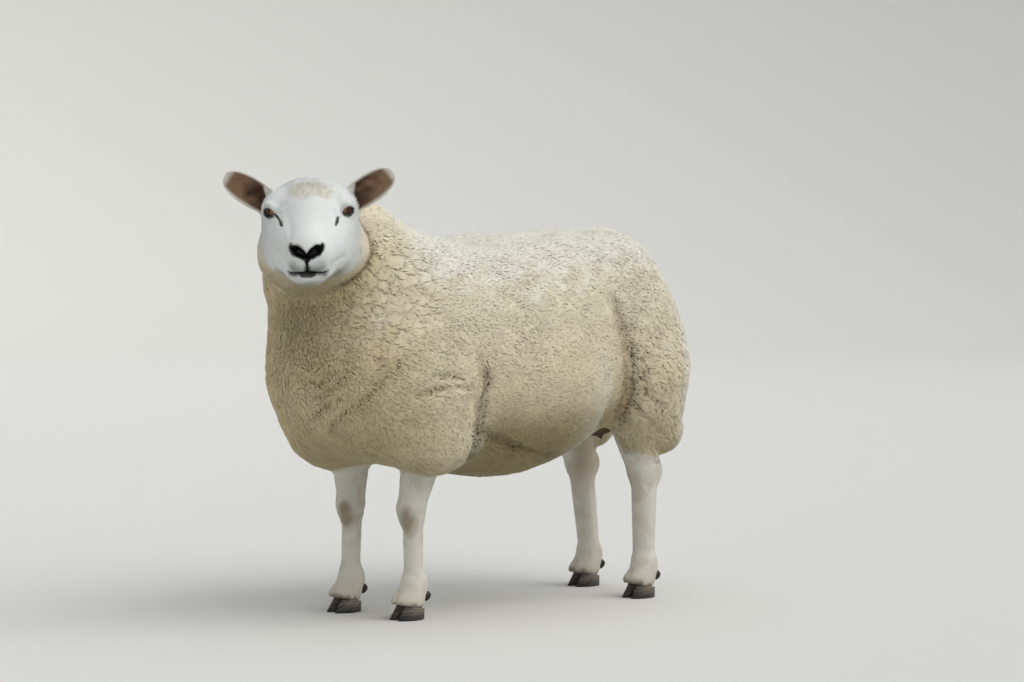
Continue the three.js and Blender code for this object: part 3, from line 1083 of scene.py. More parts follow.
@dataclass(frozen=True)
class Marks:
    """The markings that the skin and the coat share, with painted light and shade among them."""

    body: Body

    def colour(self, p: Array, n: Array) -> Array:
        """The colour of the skin or coat at each point.

        Args:
            p: Points in the body's frame.
            n: Their outward normals.

        Returns:
            Linear colours.
        """
        wool = self.body.woolness(p)[:, None]
        return self.hair(p, n) * (1.0 - wool) + self.wool(p, n) * wool

    def wool(self, p: Array, n: Array) -> Array:
        """The fleece: cream with painted light over the back and rump, tan with painted shade in front
        and below.

        Args:
            p: Points in the body's frame.
            n: Their outward normals.

        Returns:
            Linear colours.
        """
        broad, fine = Ripple(170, 31).at(p), Ripple(48, 32).at(p)
        c = np.tile(Tint.WOOL.light, (len(p), 1))
        # Tan in front where the coat faces sideways or down: stained wool, and painted shade.
        front = ramp(-260.0, -420.0, p[:, 1] + 0.25 * (p[:, 2] - 500)) * ramp(0.75, 0.1, n[:, 2])
        c = paint(c, Tint.TAN, 0.75 * front + 0.14 * broad)
        # Painted shade, with some dirt: darker on the belly, on every downward face and low down.
        belly = ramp(-240.0, -170.0, p[:, 1]) * ramp(230.0, 150.0, p[:, 1])
        c = paint(c, Tint.DIRT_AND_SHADE, belly * ramp(-0.15, -0.75, n[:, 2]))
        c = paint(c, Tint.DIRT_AND_SHADE, 0.5 * ramp(-0.45, -0.95, n[:, 2]))
        low = ramp(400.0, 300.0, p[:, 2])
        c = paint(c, Tint.DIRT_AND_SHADE, 0.45 * low * ramp(-170.0, -100.0, p[:, 1]))
        # Cream where the coat faces up, faces back or lies high: paler wool there, and painted light on
        # the lit top and rump.
        up = ramp(0.12, 0.72, n[:, 2] + 0.10 * fine) * (0.35 + 0.65 * ramp(-340.0, -230.0, p[:, 1]))
        behind = ramp(0.12, 0.72, n[:, 1])
        side = ramp(430.0, 620.0, p[:, 2] + 25 * broad) * 0.35 * ramp(-330.0, -230.0, p[:, 1])
        c = paint(c, Tint.LIT_CREAM, np.maximum(np.maximum(up, 0.85 * behind), side))
        # The ruff's own cream, withheld low under the chin to leave painted shade there.
        high = self.body.head.into(p)[:, 2]
        c = paint(c, Tint.RUFF, self.body.on_ruff(p) * (0.2 + 0.7 * ramp(-150.0, -80.0, high)))
        # Painted shadow of the head on the front of the neck, with some dirt.
        throat = away(p, (60, -450, 560), (130, 120, 130))
        c = paint(c, Tint.DIRT_AND_SHADE, 0.5 * ramp(1.0, 0.3, throat))
        return c * (1.0 + 0.035 * fine)[:, None]

    def hair(self, p: Array, n: Array) -> Array:
        """The short hair of the head, ears and legs, and the bare skin.

        Args:
            p: Points in the body's frame.
            n: Their outward normals.

        Returns:
            Linear colours.
        """
        h = self.body.head.into(p)
        near = self.body.head.around(h, HEAD_REACH)
        c = self.limbs(p, n)
        c[near] = self.head(h[near])
        return c

    def limbs(self, p: Array, n: Array) -> Array:
        """The legs and the udder.

        Args:
            p: Points in the body's frame.
            n: Their outward normals.

        Returns:
            Linear colours.
        """
        c = np.tile(Tint.LEG.light, (len(p), 1))
        fine = Ripple(14, 33).at(p * np.array([1, 1, 0.35]))
        blotch = Ripple(40, 34).at(p)
        for foot in self.body.feet:
            x, y = foot.x, foot.y
            u, v = x + foot.lean[0], y + foot.lean[1]
            near = np.hypot(p[:, 0] - u, p[:, 1] - v) < 75
            z = p[:, 2]
            if foot.fore:
                knee = Egg((u + 12, v - 22, 184), (16, 17, 26)).distance(p)
                c = paint(c, Tint.KNEE, near * 0.85 * ramp(11.0, -9.0, knee + 3 * blotch + 2 * fine))
            else:
                d = Egg((u, v - 26, 226), (22, 15, 40)).distance(p)
                c = paint(c, Tint.PASTERN, near * 0.5 * ramp(8.0, -6.0, d + 4 * blotch))
                # Inner faces of the hind legs: pinkish skin, and painted shade between the legs.
                inner = ramp(0.0, -0.9, n[:, 0] * foot.side) * ramp(180, 260, z)
                c = paint(c, Tint.INNER_SKIN_AND_SHADE, near * 0.7 * inner)
            above = self.body.hoof.above_coronet(p, foot)
            c = paint(c, Tint.PASTERN, near * 0.45 * ramp(52.0, 12.0, above + 7 * blotch))
            c = paint(c, Tint.CORONET, near * 0.85 * ramp(11.0, 0.0, above + 4 * fine))
            c = paint(c, Tint.PASTERN, near * 0.28 * ramp(0.2, 1.4, blotch + 0.5 * fine))
        # The udder: stained skin, darkened as painted shade between the thighs.
        d = self.body.udder.distance(p)
        return paint(c, Tint.UDDER_STAIN_AND_SHADE, ramp(14.0, 2.0, d))

    def head(self, h: Array) -> Array:
        """The head and the ears, in the head's frame.

        Args:
            h: Points in the head's frame.

        Returns:
            Linear colours.
        """
        x, z = h[:, 0], h[:, 2]
        fine, blotch = Ripple(7, 35).at(h), Ripple(24, 36).at(h)
        c = np.tile(Tint.WHITE.light, (len(h), 1))
        poll = Egg((4, 8, 37), (52, 28, 20)).distance(h) + 5 * blotch
        strands = ramp(-0.7, 0.9, Ripple(9, 37).at(h * np.array([1, 0.4, 0.4])))
        c = paint(c, Tint.POLL, (0.45 + 0.25 * strands) * ramp(11.0, -11.0, poll))
        # Painted shade under the jaw and low on the outer cheeks.
        c = paint(c, Tint.FACE_SHADE, 0.8 * ramp(-70.0, -96.0, z + 3 * blotch) * ramp(78.0, 44.0, np.abs(x)))
        c = paint(c, Tint.FACE_SHADE, 0.2 * ramp(66.0, 88.0, np.abs(x)) * ramp(20.0, -10.0, z))
        for ear in self.body.ears:
            c = self.ear(c, h, ear, blotch)
        soft = Egg((17, -138, -50), (18, 14, 11), True).distance(h)
        c = paint(c, Tint.LIP, 0.62 * ramp(8.0, -9.0, soft + 3.0 * blotch))
        over = LIPS.distance(h)
        c = paint(c, Tint.LIP, 0.85 * ramp(8.0, 0.5, over + blotch) * ramp(42.0, 28.0, np.abs(x)))
        c = paint(c, Tint.LIP, 0.85 * ramp(8.0, 0.0, SLIT.distance(h)) * ramp(-36.0, -50.0, z))
        under = Egg((0, -138, -64), (17, 13, 8)).distance(h)
        c = paint(c, Tint.LINE, 0.9 * ramp(3.0, -3.0, under + 1.5 * blotch + fine))
        pad = self.nose(h)
        c = paint(c, Tint.LIP, 0.6 * ramp(5.0, 0.5, pad + blotch))
        c = paint(c, Tint.NOSE, ramp(1.7, -0.3, pad + 0.4 * fine))
        c = paint(c, Tint.LINE, ramp(1.3, -0.3, SLIT.distance(h)))
        c = paint(c, Tint.LINE, ramp(1.2, -0.3, over))
        tear = np.where(x > 0, TEAR.distance(h), STREAK.distance(h))
        c = paint(c, Tint.TEAR, 0.94 * ramp(2.0, -0.6, tear + 0.3 * fine))
        for eye in EYES:
            measure, above, _ = eye.lids(h)
            close = eye.off(h) < 30
            ring = measure + 0.05 * fine + 0.18 * ramp(1.0, -4.0, above)
            c = paint(c, Tint.RIM, close * ramp(1.34, 1.14, ring))
            c = paint(c, Tint.LIP, close * 0.35 * ramp(1.9, 1.35, measure + 0.1 * blotch))
        return c

    def nose(self, h: Array) -> Array:
        """How far each point of the head's frame lies from the bare black nose."""
        return blend(np.minimum(NOSTRIL.distance(h), COMMA.distance(h)), SLIT.distance(h), 3)

    def ear(self, c: Array, h: Array, ear: Ear, blotch: Array) -> Array:
        """The colours with one ear's laid over them.

        Args:
            c: The colours below.
            h: Points in the head's frame.
            ear: The ear.
            blotch: Broad noise at each point.

        Returns:
            Linear colours.
        """
        along, across, before, half = ear.place(h)
        upper = across / np.maximum(half, 1.0) * ear.side
        s = np.abs(upper)
        on = (ear.distance(h, ear.hairy) < 3.0) & (along > -0.1)
        front = on * ramp(-0.8, 0.9, before)
        c = paint(c, Tint.EAR_RIM, 0.6 * on * ramp(0.0, 0.3, along))
        root = 0.02 + 0.30 * ramp(-0.35, 0.9, upper)
        bare = front * ramp(0.92, 0.68, s) * ramp(0.96, 0.84, along) * ramp(0.0, 0.07, along - root)
        c = paint(c, Tint.EAR_IN, bare)
        tipward = along + 0.25 * ramp(0.1, -0.8, upper) * ramp(0.1, 0.5, along)
        deep = 0.95 * ramp(0.80, 0.20, tipward + 0.12 * blotch)
        return paint(c, Tint.EAR_DEEP, bare * deep * ramp(1.0, 0.7, s))

    def wet(self, p: Array) -> Array:
        """0 where the skin is dry and 1 on the nose and the lids' rims.

        Args:
            p: Points in the body's frame.

        Returns:
            From 0 to 1 for each point.
        """
        h = self.body.head.into(p)
        damp = ramp(2.0, -0.5, self.nose(h))
        for eye in EYES:
            close = eye.off(h) < 24
            damp = np.maximum(damp, close * ramp(1.3, 1.12, eye.lids(h)[0]))
        return damp


# ---------------- meshes and finishes
@dataclass(frozen=True)
class Finish:
    """A surface that takes its colour from the mesh and adds a fine grain of its own."""

    name: str
    roughness: float
    grain: Triple  # how many grains there are in a metre along each axis
    mottle: float
    bump: float  # the grain's height in metres
    sheen: float = 0.0
    specular: float = 0.5
    coat: float = 0.0
    damp: float = 0.0  # the roughness where the mesh is marked wet, or 0 for no such marks

    def node(self, nodes: bpy.types.Nodes, kind: str, values: dict) -> bpy.types.Node:
        """A new node of a material, with values set on its sockets.

        Args:
            nodes: The material's nodes.
            kind: The node's type.
            values: A value for each socket's name.

        Returns:
            The node.
        """
        made = nodes.new(kind)
        for socket, value in values.items():
            made.inputs[socket].default_value = value
        return made

    def material(self) -> bpy.types.Material:
        """The finish as a material.

        Returns:
            The one material that all pieces of this finish share.
        """
        name = f"finish {self.name}"
        old = bpy.data.materials.get(name)
        if old is not None:
            return old
        made = bpy.data.materials.new(name)
        made.use_nodes = True
        nodes = made.node_tree.nodes
        shader = nodes["Principled BSDF"]
        own = {"Roughness": self.roughness, "Sheen Weight": self.sheen, "Coat Roughness": 0.02}
        own |= {"Specular IOR Level": self.specular, "Coat Weight": self.coat}
        for socket, value in own.items():
            shader.inputs[socket].default_value = value
        place = nodes.new("ShaderNodeTexCoord")
        scale = self.node(nodes, "ShaderNodeMapping", {"Scale": self.grain})
        noise = self.node(nodes, "ShaderNodeTexNoise", {"Scale": 1.0, "Detail": 3.0})
        ends = {"From Min": 0.25, "From Max": 0.75}
        ends |= {"To Min": 1.0 - self.mottle, "To Max": 1.0 + self.mottle}
        span = self.node(nodes, "ShaderNodeMapRange", ends)
        colour = nodes.new("ShaderNodeAttribute")
        colour.attribute_name = "colour"
        tinted = nodes.new("ShaderNodeVectorMath")
        tinted.operation = "SCALE"
        joints = [
            (place, "Object", scale, "Vector"),
            (scale, "Vector", noise, "Vector"),
            (noise, "Fac", span, "Value"),
            (colour, "Color", tinted, "Vector"),
            (span, "Result", tinted, "Scale"),
            (tinted, "Vector", shader, "Base Color"),
        ]
        if self.bump:
            bump = self.node(nodes, "ShaderNodeBump", {"Strength": 1.0, "Distance": self.bump})
            joints += [(noise, "Fac", bump, "Height"), (bump, "Normal", shader, "Normal")]
        if self.damp:
            wet = nodes.new("ShaderNodeAttribute")
            wet.attribute_name = "wet"
            ends = {"To Min": self.roughness, "To Max": self.damp}
            rough = self.node(nodes, "ShaderNodeMapRange", ends)
            joints += [(wet, "Fac", rough, "Value"), (rough, "Result", shader, "Roughness")]
        for start, output, end, socket in joints:
            made.node_tree.links.new(start.outputs[output], end.inputs[socket])
        return made


WOOL = Finish("wool", 0.95, (420, 420, 420), 0.06, 0.0004, sheen=0.1, specular=0.1)
HAIR = Finish("short hair", 0.8, (700, 700, 260), 0.05, 0.0002, specular=0.15)
HIDE = Finish("hide", 0.8, (520, 520, 300), 0.06, 0.0004, specular=0.2, damp=0.3)
HORN = Finish("horn", 0.5, (60, 60, 900), 0.16, 0.0003, specular=0.4)
EYEBALL = Finish("eye", 0.2, (900, 900, 900), 0.06, 0.0, specular=0.15, coat=0.2)


def rowed(p: Array) -> Array:
    """Points of the body's frame as metres of the row frame."""
    return (p + BEHIND) * MM


def mark(mesh: Mesh, name: str, values: Array) -> None:
    """Gives a mesh's points a value each.

    Args:
        mesh: The mesh.
        name: The attribute's name.
        values: One number, or red, green and blue, for each point.
    """
    if values.ndim == 1:
        layer = mesh.attributes.new(name, "FLOAT", "POINT")
        layer.data.foreach_set("value", values.astype(np.float32))
        return
    layer = mesh.attributes.new(name, "FLOAT_COLOR", "POINT")
    full = np.ones((len(values), 4), np.float32)
    full[:, :3] = np.clip(values, 0.0, 1.0)
    layer.data.foreach_set("color", full.ravel())


def made_mesh(
    name: str, points: Array, faces: Sequence[Array], normals: Array | None = None
) -> Mesh:
    """A smooth mesh from arrays.

    Args:
        name: The mesh's name.
        points: Points of the body's frame, in millimetres.
        faces: Arrays of faces, each with one count of corners.
        normals: The normals to shade the points with, where not the mesh's own.

    Returns:
        The mesh, in metres of the row frame.
    """
    mesh = bpy.data.meshes.new(name)
    corners = np.concatenate([f.ravel() for f in faces]).astype(np.int32)
    counts = np.concatenate([np.full(len(f), f.shape[1]) for f in faces])
    starts = np.concatenate([[0], np.cumsum(counts)[:-1]]).astype(np.int32)
    mesh.vertices.add(len(points))
    mesh.vertices.foreach_set("co", rowed(points).astype(np.float32).ravel())
    mesh.loops.add(len(corners))
    mesh.loops.foreach_set("vertex_index", corners)
    mesh.polygons.add(len(starts))
    mesh.polygons.foreach_set("loop_start", starts)
    mesh.update(calc_edges=True)
    mesh.shade_smooth()
    if normals is not None:
        mesh.normals_split_custom_set_from_vertices(normals.astype(np.float32))
    return mesh


def shown(mesh: Mesh, finish: Finish) -> Piece:
    """Puts a mesh in the scene as a piece of the animal.

    Args:
        mesh: The mesh, in metres of the row frame.
        finish: Its finish.

    Returns:
        The new object.
    """
    mesh.materials.append(finish.material())
    piece = bpy.data.objects.new(mesh.name, mesh)
    bpy.context.scene.collection.objects.link(piece)
    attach(piece, "root")
    LOG.info("%s: %d faces", piece.name, len(mesh.polygons))
    return piece


def ringed(rings: int, sides: int) -> Array:
    """The quads of a tube that is closed round and open at its ends.

    Args:
        rings: How many rings of points it has.
        sides: How many points each ring has.

    Returns:
        Four corners for each quad.
    """
    here = np.arange(sides)
    then = (here + 1) % sides
    ring = (np.arange(rings - 1) * sides)[:, None]
    quads = [ring + here, ring + sides + here, ring + sides + then, ring + then]
    return np.stack(quads, -1).reshape(-1, 4)


def points_of(mesh: Mesh) -> tuple[Array, Array]:
    """A mesh's points in the body's frame, in millimetres, and their normals.

    Args:
        mesh: A mesh in metres of the row frame.

    Returns:
        The points and the normals.
    """
    at = np.empty(len(mesh.vertices) * 3, np.float32)
    mesh.vertices.foreach_get("co", at)
    facing = np.empty_like(at)
    mesh.vertices.foreach_get("normal", facing)
    p = at.reshape(-1, 3).astype(float) / MM - BEHIND
    return p, facing.reshape(-1, 3).astype(float)


def move_points(mesh: Mesh, p: Array) -> None:
    """Moves a mesh's points to places in the body's frame."""
    mesh.vertices.foreach_set("co", rowed(p).astype(np.float32).ravel())
    mesh.update()


# ---------------- the skin
@dataclass
class Skin:
    """The one skin of the animal, inside its outline by the depth of the coat."""

    body: Body
    relief: Relief
    face: Face
    marks: Marks
    cell: float = 7.0
    hair_deep: float = 1.5
    wool_deep: float = 2.8
    ear_thick: tuple[float, float, float] = (20.0, 10.0, 3.6)
    low: Triple = (-262, -660, -8)
    high: Triple = (296, 474, 874)

    def field(self, ear_thick: float) -> Field:
        """The signed distance to the skin, with ears of the thickness that is given.

        Args:
            ear_thick: The ears' thickness in millimetres.

        Returns:
            The field.
        """

        def distance(p: Array) -> Array:
            """The signed distance to the skin.

            Args:
                p: Points in the body's frame.

            Returns:
                One distance for each point.
            """
            outline, more = self.body.both(p, ear_thick + 2 * self.hair_deep)
            deep = (self.wool_deep - self.hair_deep) * ramp(-6.0, 38.0, more)
            d = outline + self.hair_deep + deep
            h = self.body.head.into(p)
            for eye in EYES:
                far = eye.off(h)
                near = far < 60
                d[near] = blend(d[near], far[near] - eye.radius - eye.lid, 8)
            return d

        return distance

    def cast(self) -> Mesh:
        """The skin as a mesh of plain cells.

        Returns:
            The mesh.
        """
        distance = self.field(self.ear_thick[0])
        low = np.array(self.low, float)
        blocks = np.ceil((np.array(self.high) - low) / (3 * self.cell)).astype(int)
        index = np.stack(np.meshgrid(*map(np.arange, blocks), indexing="ij"), -1)
        middle = distance(low + (index.reshape(-1, 3) * 3 + 1) * self.cell).reshape(blocks)
        block = np.ones((3, 3, 3))
        values = np.kron(np.where(middle > 0, 3.0, -3.0), block)
        near = np.kron(np.abs(middle) < 46, block) > 0
        cells = np.argwhere(near)
        values[near] = np.clip(distance(low + cells * self.cell) / self.cell, -3.0, 3.0)
        grid = openvdb.FloatGrid(background=3.0)
        grid.copyFromArray(values.astype(np.float32))
        p, quads = grid.convertToQuads(isovalue=0.0)
        p = low + np.array(p, float) * self.cell
        p = self.eased(p, quads)
        p, _ = settle(distance, p, self.cell / 2)
        return made_mesh("skin", p, [np.array(quads)])

    def eased(self, p: Array, quads: Array) -> Array:
        """The points, each drawn to the middle of its neighbours.

        Args:
            p: The points.
            quads: Four corners for each face.

        Returns:
            The moved points.
        """
        for _ in range(2):
            total, count = np.zeros_like(p), np.zeros(len(p))
            for corner in range(4):
                here, there = quads[:, corner], quads[:, (corner + 1) % 4]
                for a, b in ((here, there), (there, here)):
                    np.add.at(total, a, p[b])
                    np.add.at(count, a, 1)
            p = p + 0.5 * (total / np.maximum(count, 1)[:, None] - p)
        return p

    def unwrap(self, mesh: Mesh) -> None:
        """Lays the skin out flat, in islands that follow its own shape.

        Args:
            mesh: The skin.
        """
        holder = bpy.data.objects.new("unwrap", mesh)
        bpy.context.scene.collection.objects.link(holder)
        bpy.context.view_layer.objects.active = holder
        holder.select_set(True)
        mesh.uv_layers.new(name="OFBake")
        bpy.ops.object.mode_set(mode="EDIT")
        bpy.ops.mesh.select_all(action="SELECT")
        bpy.ops.uv.smart_project(angle_limit=1.15, island_margin=0.003, scale_to_bounds=True)
        bpy.ops.object.mode_set(mode="OBJECT")
        bpy.data.objects.remove(holder)

    def split(self, mesh: Mesh, fine: Field, thick: float) -> None:
        """Halves the faces of one region and settles them on the skin again.

        Args:
            mesh: The skin.
            fine: Says which points lie in the region.
            thick: The ears' thickness from here on, in millimetres.
        """
        p, _ = points_of(mesh)
        chosen = fine(p)
        work = bmesh.new()
        work.from_mesh(mesh)
        work.verts.ensure_lookup_table()
        edges = [e for e in work.edges if chosen[e.verts[0].index] and chosen[e.verts[1].index]]
        bmesh.ops.subdivide_edges(work, edges=edges, cuts=1, use_grid_fill=True)
        work.to_mesh(mesh)
        work.free()
        p, _ = points_of(mesh)
        near = fine(p)
        p[near], _ = settle(self.field(thick), p[near], self.cell / 2)
        move_points(mesh, p)

    def folds(self, p: Array) -> Array:
        """Where the fleece is folded in sharply, but for the legs and the head."""
        return (self.relief.cut(p) > 1.5) & (self.body.both(p, self.ear_thick[0])[1] > 24)

    def limbs_and_head(self, p: Array) -> Array:
        """Where the skin is bare enough to be finer than under the fleece."""
        return self.body.both(p, self.ear_thick[0])[1] < 10

    def head_and_ears(self, p: Array) -> Array:
        """Where the skin of the head and ears is finer still.

        Args:
            p: Points in the body's frame.

        Returns:
            True or False for each point.
        """
        h = self.body.head.into(p)
        near = self.body.head.around(h, HEAD_REACH - 10.0)
        _, more = self.body.both(p[near], self.ear_thick[1])
        near[near] = more < 4
        return near

    def features(self, p: Array) -> Array:
        """Where the lids, the nose and the mouth need the finest skin.

        Args:
            p: Points in the body's frame.

        Returns:
            True or False for each point.
        """
        h = self.body.head.into(p)
        near = np.zeros(len(p), bool)
        for eye in EYES:
            measure, _, _ = eye.lids(h)
            near |= (measure < 2.1) & (eye.off(h) < 27)
        return near | (np.minimum(self.marks.nose(h), LIPS.distance(h)) < 5.0)

    def build(self) -> Piece:
        """Makes the skin.

        Returns:
            The new object.
        """
        mesh = self.cast()
        self.unwrap(mesh)
        self.split(mesh, self.folds, self.ear_thick[0])
        self.split(mesh, self.limbs_and_head, self.ear_thick[1])
        self.split(mesh, self.head_and_ears, self.ear_thick[2])
        self.split(mesh, self.features, self.ear_thick[2])
        p, n = points_of(mesh)
        colours = self.marks.colour(p, n)
        wet = self.marks.wet(p)
        wool = ramp(-2.0, 20.0, self.body.woolly(p))
        dip = wool * self.relief.dip(p + n * (self.wool_deep * wool)[:, None])
        clump = wool * self.relief.clumping(p) * (1.0 - self.body.on_ruff(p))
        dip += 0.8 * clump
        bare = np.flatnonzero((wool < 1.0) & (p[:, 2] < 380))
        for foot in self.body.feet:
            for hollow in foot.hollows():
                dip[bare] += hollow.dip(p[bare])
        p = self.face.press(p - n * dip[:, None], n)
        move_points(mesh, p)
        # Painted shade: the skin under the wool and in the gaps between clumps is a little darker.
        mark(mesh, "colour", colours * (1.0 - 0.05 * wool - 0.05 * clump)[:, None])
        mark(mesh, "wet", wet)
        piece = shown(mesh, HIDE)
        legs = [f"leg_{foot.name}" for foot in self.body.feet]
        nodes = ["trunk", "neck", "head", "tail", "udder", "ear_left", "ear_right", *legs]
        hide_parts(*nodes)
        return piece


# ---------------- the coat
@dataclass
class Roots:
    """Places on the skin from which tufts grow."""

    at: Array
    normal: Array
    uv: Array

    def kept(self, keep: Array) -> "Roots":
        """Only some of the roots."""
        return Roots(self.at[keep], self.normal[keep], self.uv[keep])


@dataclass
class Ground:
    """The skin's triangles, to sow roots on."""

    corner: Array
    normal: Array
    uv: Array
    area: Array

    @classmethod
    def of(cls, skin: Piece) -> "Ground":
        """The triangles of a skin.

        Args:
            skin: The skin, in place.

        Returns:
            Its triangles.
        """
        mesh = skin.data
        mesh.calc_loop_triangles()
        count = len(mesh.loop_triangles)
        index = np.empty(count * 3, np.int32)
        mesh.loop_triangles.foreach_get("vertices", index)
        loops = np.empty(count * 3, np.int32)
        mesh.loop_triangles.foreach_get("loops", loops)
        uv = np.empty(len(mesh.loops) * 2, np.float32)
        mesh.uv_layers["OFBake"].uv.foreach_get("vector", uv)
        p, n = points_of(mesh)
        corner = p[index].reshape(-1, 3, 3)
        cross = np.cross(corner[:, 1] - corner[:, 0], corner[:, 2] - corner[:, 0])
        area = norm(cross, axis=1) / 2
        return cls(corner, n[index].reshape(-1, 3, 3), uv.reshape(-1, 2)[loops].reshape(-1, 3, 2), area)

    def middle(self) -> Array:
        """The middle of each triangle."""
        return self.corner.mean(axis=1)

    def sow(self, density: Array, seed: int) -> Roots:
        """Spreads roots evenly over the skin.

        Args:
            density: How many roots a square millimetre of each triangle has.
            seed: The seed of their places.

        Returns:
            The roots.
        """
        rng = np.random.default_rng(seed)
        total = np.cumsum(density * self.area)
        steps = np.arange(rng.uniform(), total[-1], 1.0)
        which = np.searchsorted(total, steps)
        a, b = np.sqrt(rng.uniform(size=len(which))), rng.uniform(size=len(which))
        share = np.column_stack([1 - a, a * (1 - b), a * b])
        at, normal, uv = (
            np.einsum("nk,nkc->nc", share, values[which])
            for values in (self.corner, self.normal, self.uv)
        )
        return Roots(at, unit(normal), uv)


@dataclass
class Tufts:
    """A crop of tufts, each a closed rounded spike along a curve of three points."""

    start: Array
    bend: Array
    tip: Array
    out: Array  # which way a tuft's back faces
    wide: Array
    thick: Array
    # low is darker than high in the coat's crops: painted shade at the roots
    low: Array  # the colour at the root
    high: Array  # the colour at the tip
    uv: Array
    rings: tuple[tuple[float, float], ...]
    calm: float = 0.5  # how much of a tuft's shading follows the coat rather than the tuft

    def kept(self, keep: Array) -> "Tufts":
        """Only some of the tufts."""
        names = ("start", "bend", "tip", "out", "wide", "thick", "low", "high", "uv")
        return Tufts(*(getattr(self, name)[keep] for name in names), self.rings, self.calm)

    def arrays(self) -> tuple[Array, Array, Array, Array, Array, Array]:
        """Points, quads, triangles, colours, map places and normals of the whole crop.

        Returns:
            The six arrays, in that order.
        """
        count = len(self.start)
        points, colours, places, normals = [], [], [], []
        for t, share in self.rings:
            middle = (1 - t) ** 2 * self.start + 2 * t * (1 - t) * self.bend + t * t * self.tip
            along = unit((1 - t) * (self.bend - self.start) + t * (self.tip - self.bend))
            across = unit(np.cross(self.out, along))
            back = np.cross(along, across)
            for corner, angle in enumerate((90.0, 210.0, 330.0)):
                c, s = math.cos(math.radians(angle)), math.sin(math.radians(angle))
                reach = share * c * self.wide[:, None] * across
                points.append(middle + reach + share * s * self.thick[:, None] * back)
                own = unit(c * across * self.thick[:, None] + s * back * self.wide[:, None])
                normals.append(unit(own * (1 - self.calm) + self.out * self.calm))
                colours.append(self.low * (1 - t) + self.high * t)
                shift = np.array([(1 - corner) * 0.0014, (t - 0.5) * 0.0026 - 0.0003 * (corner == 1)])
                places.append(self.uv + shift)
        points.append(self.tip)
        colours.append(self.high)
        places.append(self.uv + np.array([0.0, 0.0015]))
        normals.append(unit(along * (1 - self.calm) + self.out * self.calm))
        size = len(points)
        base = (np.arange(count) * size)[:, None, None]
        rounds = len(self.rings)
        ring = [
            (3 * j + i, 3 * j + (i + 1) % 3, 3 * j + 3 + (i + 1) % 3, 3 * j + 3 + i)
            for j in range(rounds - 1)
            for i in range(3)
        ]
        last = 3 * (rounds - 1)
        ends = [(last + i, last + (i + 1) % 3, last + 3) for i in range(3)] + [(0, 2, 1)]
        quads = (base + np.array(ring)[None]).reshape(-1, 4)
        corners = (base + np.array(ends)[None]).reshape(-1, 3)
        rows = (points, colours, places, normals)
        stacked = [np.stack(row, axis=1).reshape(count * size, -1) for row in rows]
        return stacked[0], quads, corners, *stacked[1:]


def coat_piece(name: str, crops: Sequence[Tufts], finish: Finish) -> Piece:
    """One piece of the coat.

    Args:
        name: The piece's name.
        crops: The tufts that it joins.
        finish: Its finish.

    Returns:
        The new object.
    """
    made = [crop.arrays() for crop in crops]
    base = np.cumsum([0, *(len(arrays[0]) for arrays in made)])
    quads, corners = (
        np.concatenate([arrays[i] + first for arrays, first in zip(made, base)]) for i in (1, 2)
    )
    points, colours, places, normals = (
        np.concatenate([arrays[i] for arrays in made]) for i in (0, 3, 4, 5)
    )
    mesh = made_mesh(name, points, [quads, corners], normals)
    mark(mesh, "colour", colours)
    index = np.empty(len(mesh.loops), np.int32)
    mesh.loops.foreach_get("vertex_index", index)
    layer = mesh.uv_layers.new(name="OFBake")
    spread = np.clip(places, 0.0, 1.0)[index]
    layer.uv.foreach_set("vector", spread.astype(np.float32).ravel())
    return shown(mesh, finish)


@dataclass(frozen=True)
class Lie:
    """Which way the coat lies over the skin."""

    body: Body

    def laid(self, way: Array, n: Array, turn: Array) -> Array:
        """Directions laid flat on the skin and turned about its normals.

        Args:
            way: A direction for each point.
            n: The normals.
            turn: An angle for each point, in radians.

        Returns:
            Unit tangents.
        """
        flat = unit(way - (way * n).sum(axis=1, keepdims=True) * n)
        return flat * np.cos(turn)[:, None] + np.cross(n, flat) * np.sin(turn)[:, None]

    def wool(self, p: Array, n: Array) -> Array:
        """The lie of the fleece: back along the body, and down over the front and thighs.

        Args:
            p: Points in the body's frame.
            n: Their outward normals.

        Returns:
            Unit tangents.
        """
        down = 0.30 + 0.9 * ramp(150.0, 290.0, p[:, 1]) + 0.5 * ramp(-300.0, -430.0, p[:, 1])
        down = down + 0.9 * ramp(420.0, 330.0, p[:, 2])
        way = np.column_stack([0.1 * p[:, 0] / 230, np.ones(len(p)), -down])
        head = np.array(self.body.head.at)
        back = self.body.head.turn() @ np.array([0.0, 0.9, -0.45])
        near = ramp(190.0, 110.0, norm(p - head, axis=1))[:, None]
        way = way * (1 - near) + back * near
        turn = 0.36 * Ripple(46, 41).at(p) + 0.24 * Ripple(17, 42).at(p)
        return self.laid(way, n, turn)

    def hair(self, p: Array, n: Array) -> Array:
        """The lie of the short hair: down the legs, back over the face, out along the ears.

        Args:
            p: Points in the body's frame.
            n: Their outward normals.

        Returns:
            Unit tangents.
        """
        h = self.body.head.into(p)
        way = np.tile(np.array([0.0, 0.1, -1.0]), (len(p), 1))
        near = self.body.head.around(h, HEAD_REACH)
        turn = self.body.head.turn()
        local = np.column_stack([h[:, 0] * 0.006, np.ones(len(h)), np.full(len(h), 0.1)])
        for ear in self.body.ears:
            _, _, axis, _, wide = ear.axes()
            on = ramp(12.0, 2.0, ear.distance(h, ear.hairy))[:, None]
            _, across, _, half = ear.place(h)
            fan = axis + wide * (0.9 * (across / np.maximum(half, 1.0)) ** 3)[:, None]
            local = local * (1 - on) + fan * on
        way[near] = (local @ turn.T)[near]
        return self.laid(way, n, 0.30 * Ripple(22, 43).at(p) + 0.18 * Ripple(9, 44).at(p))


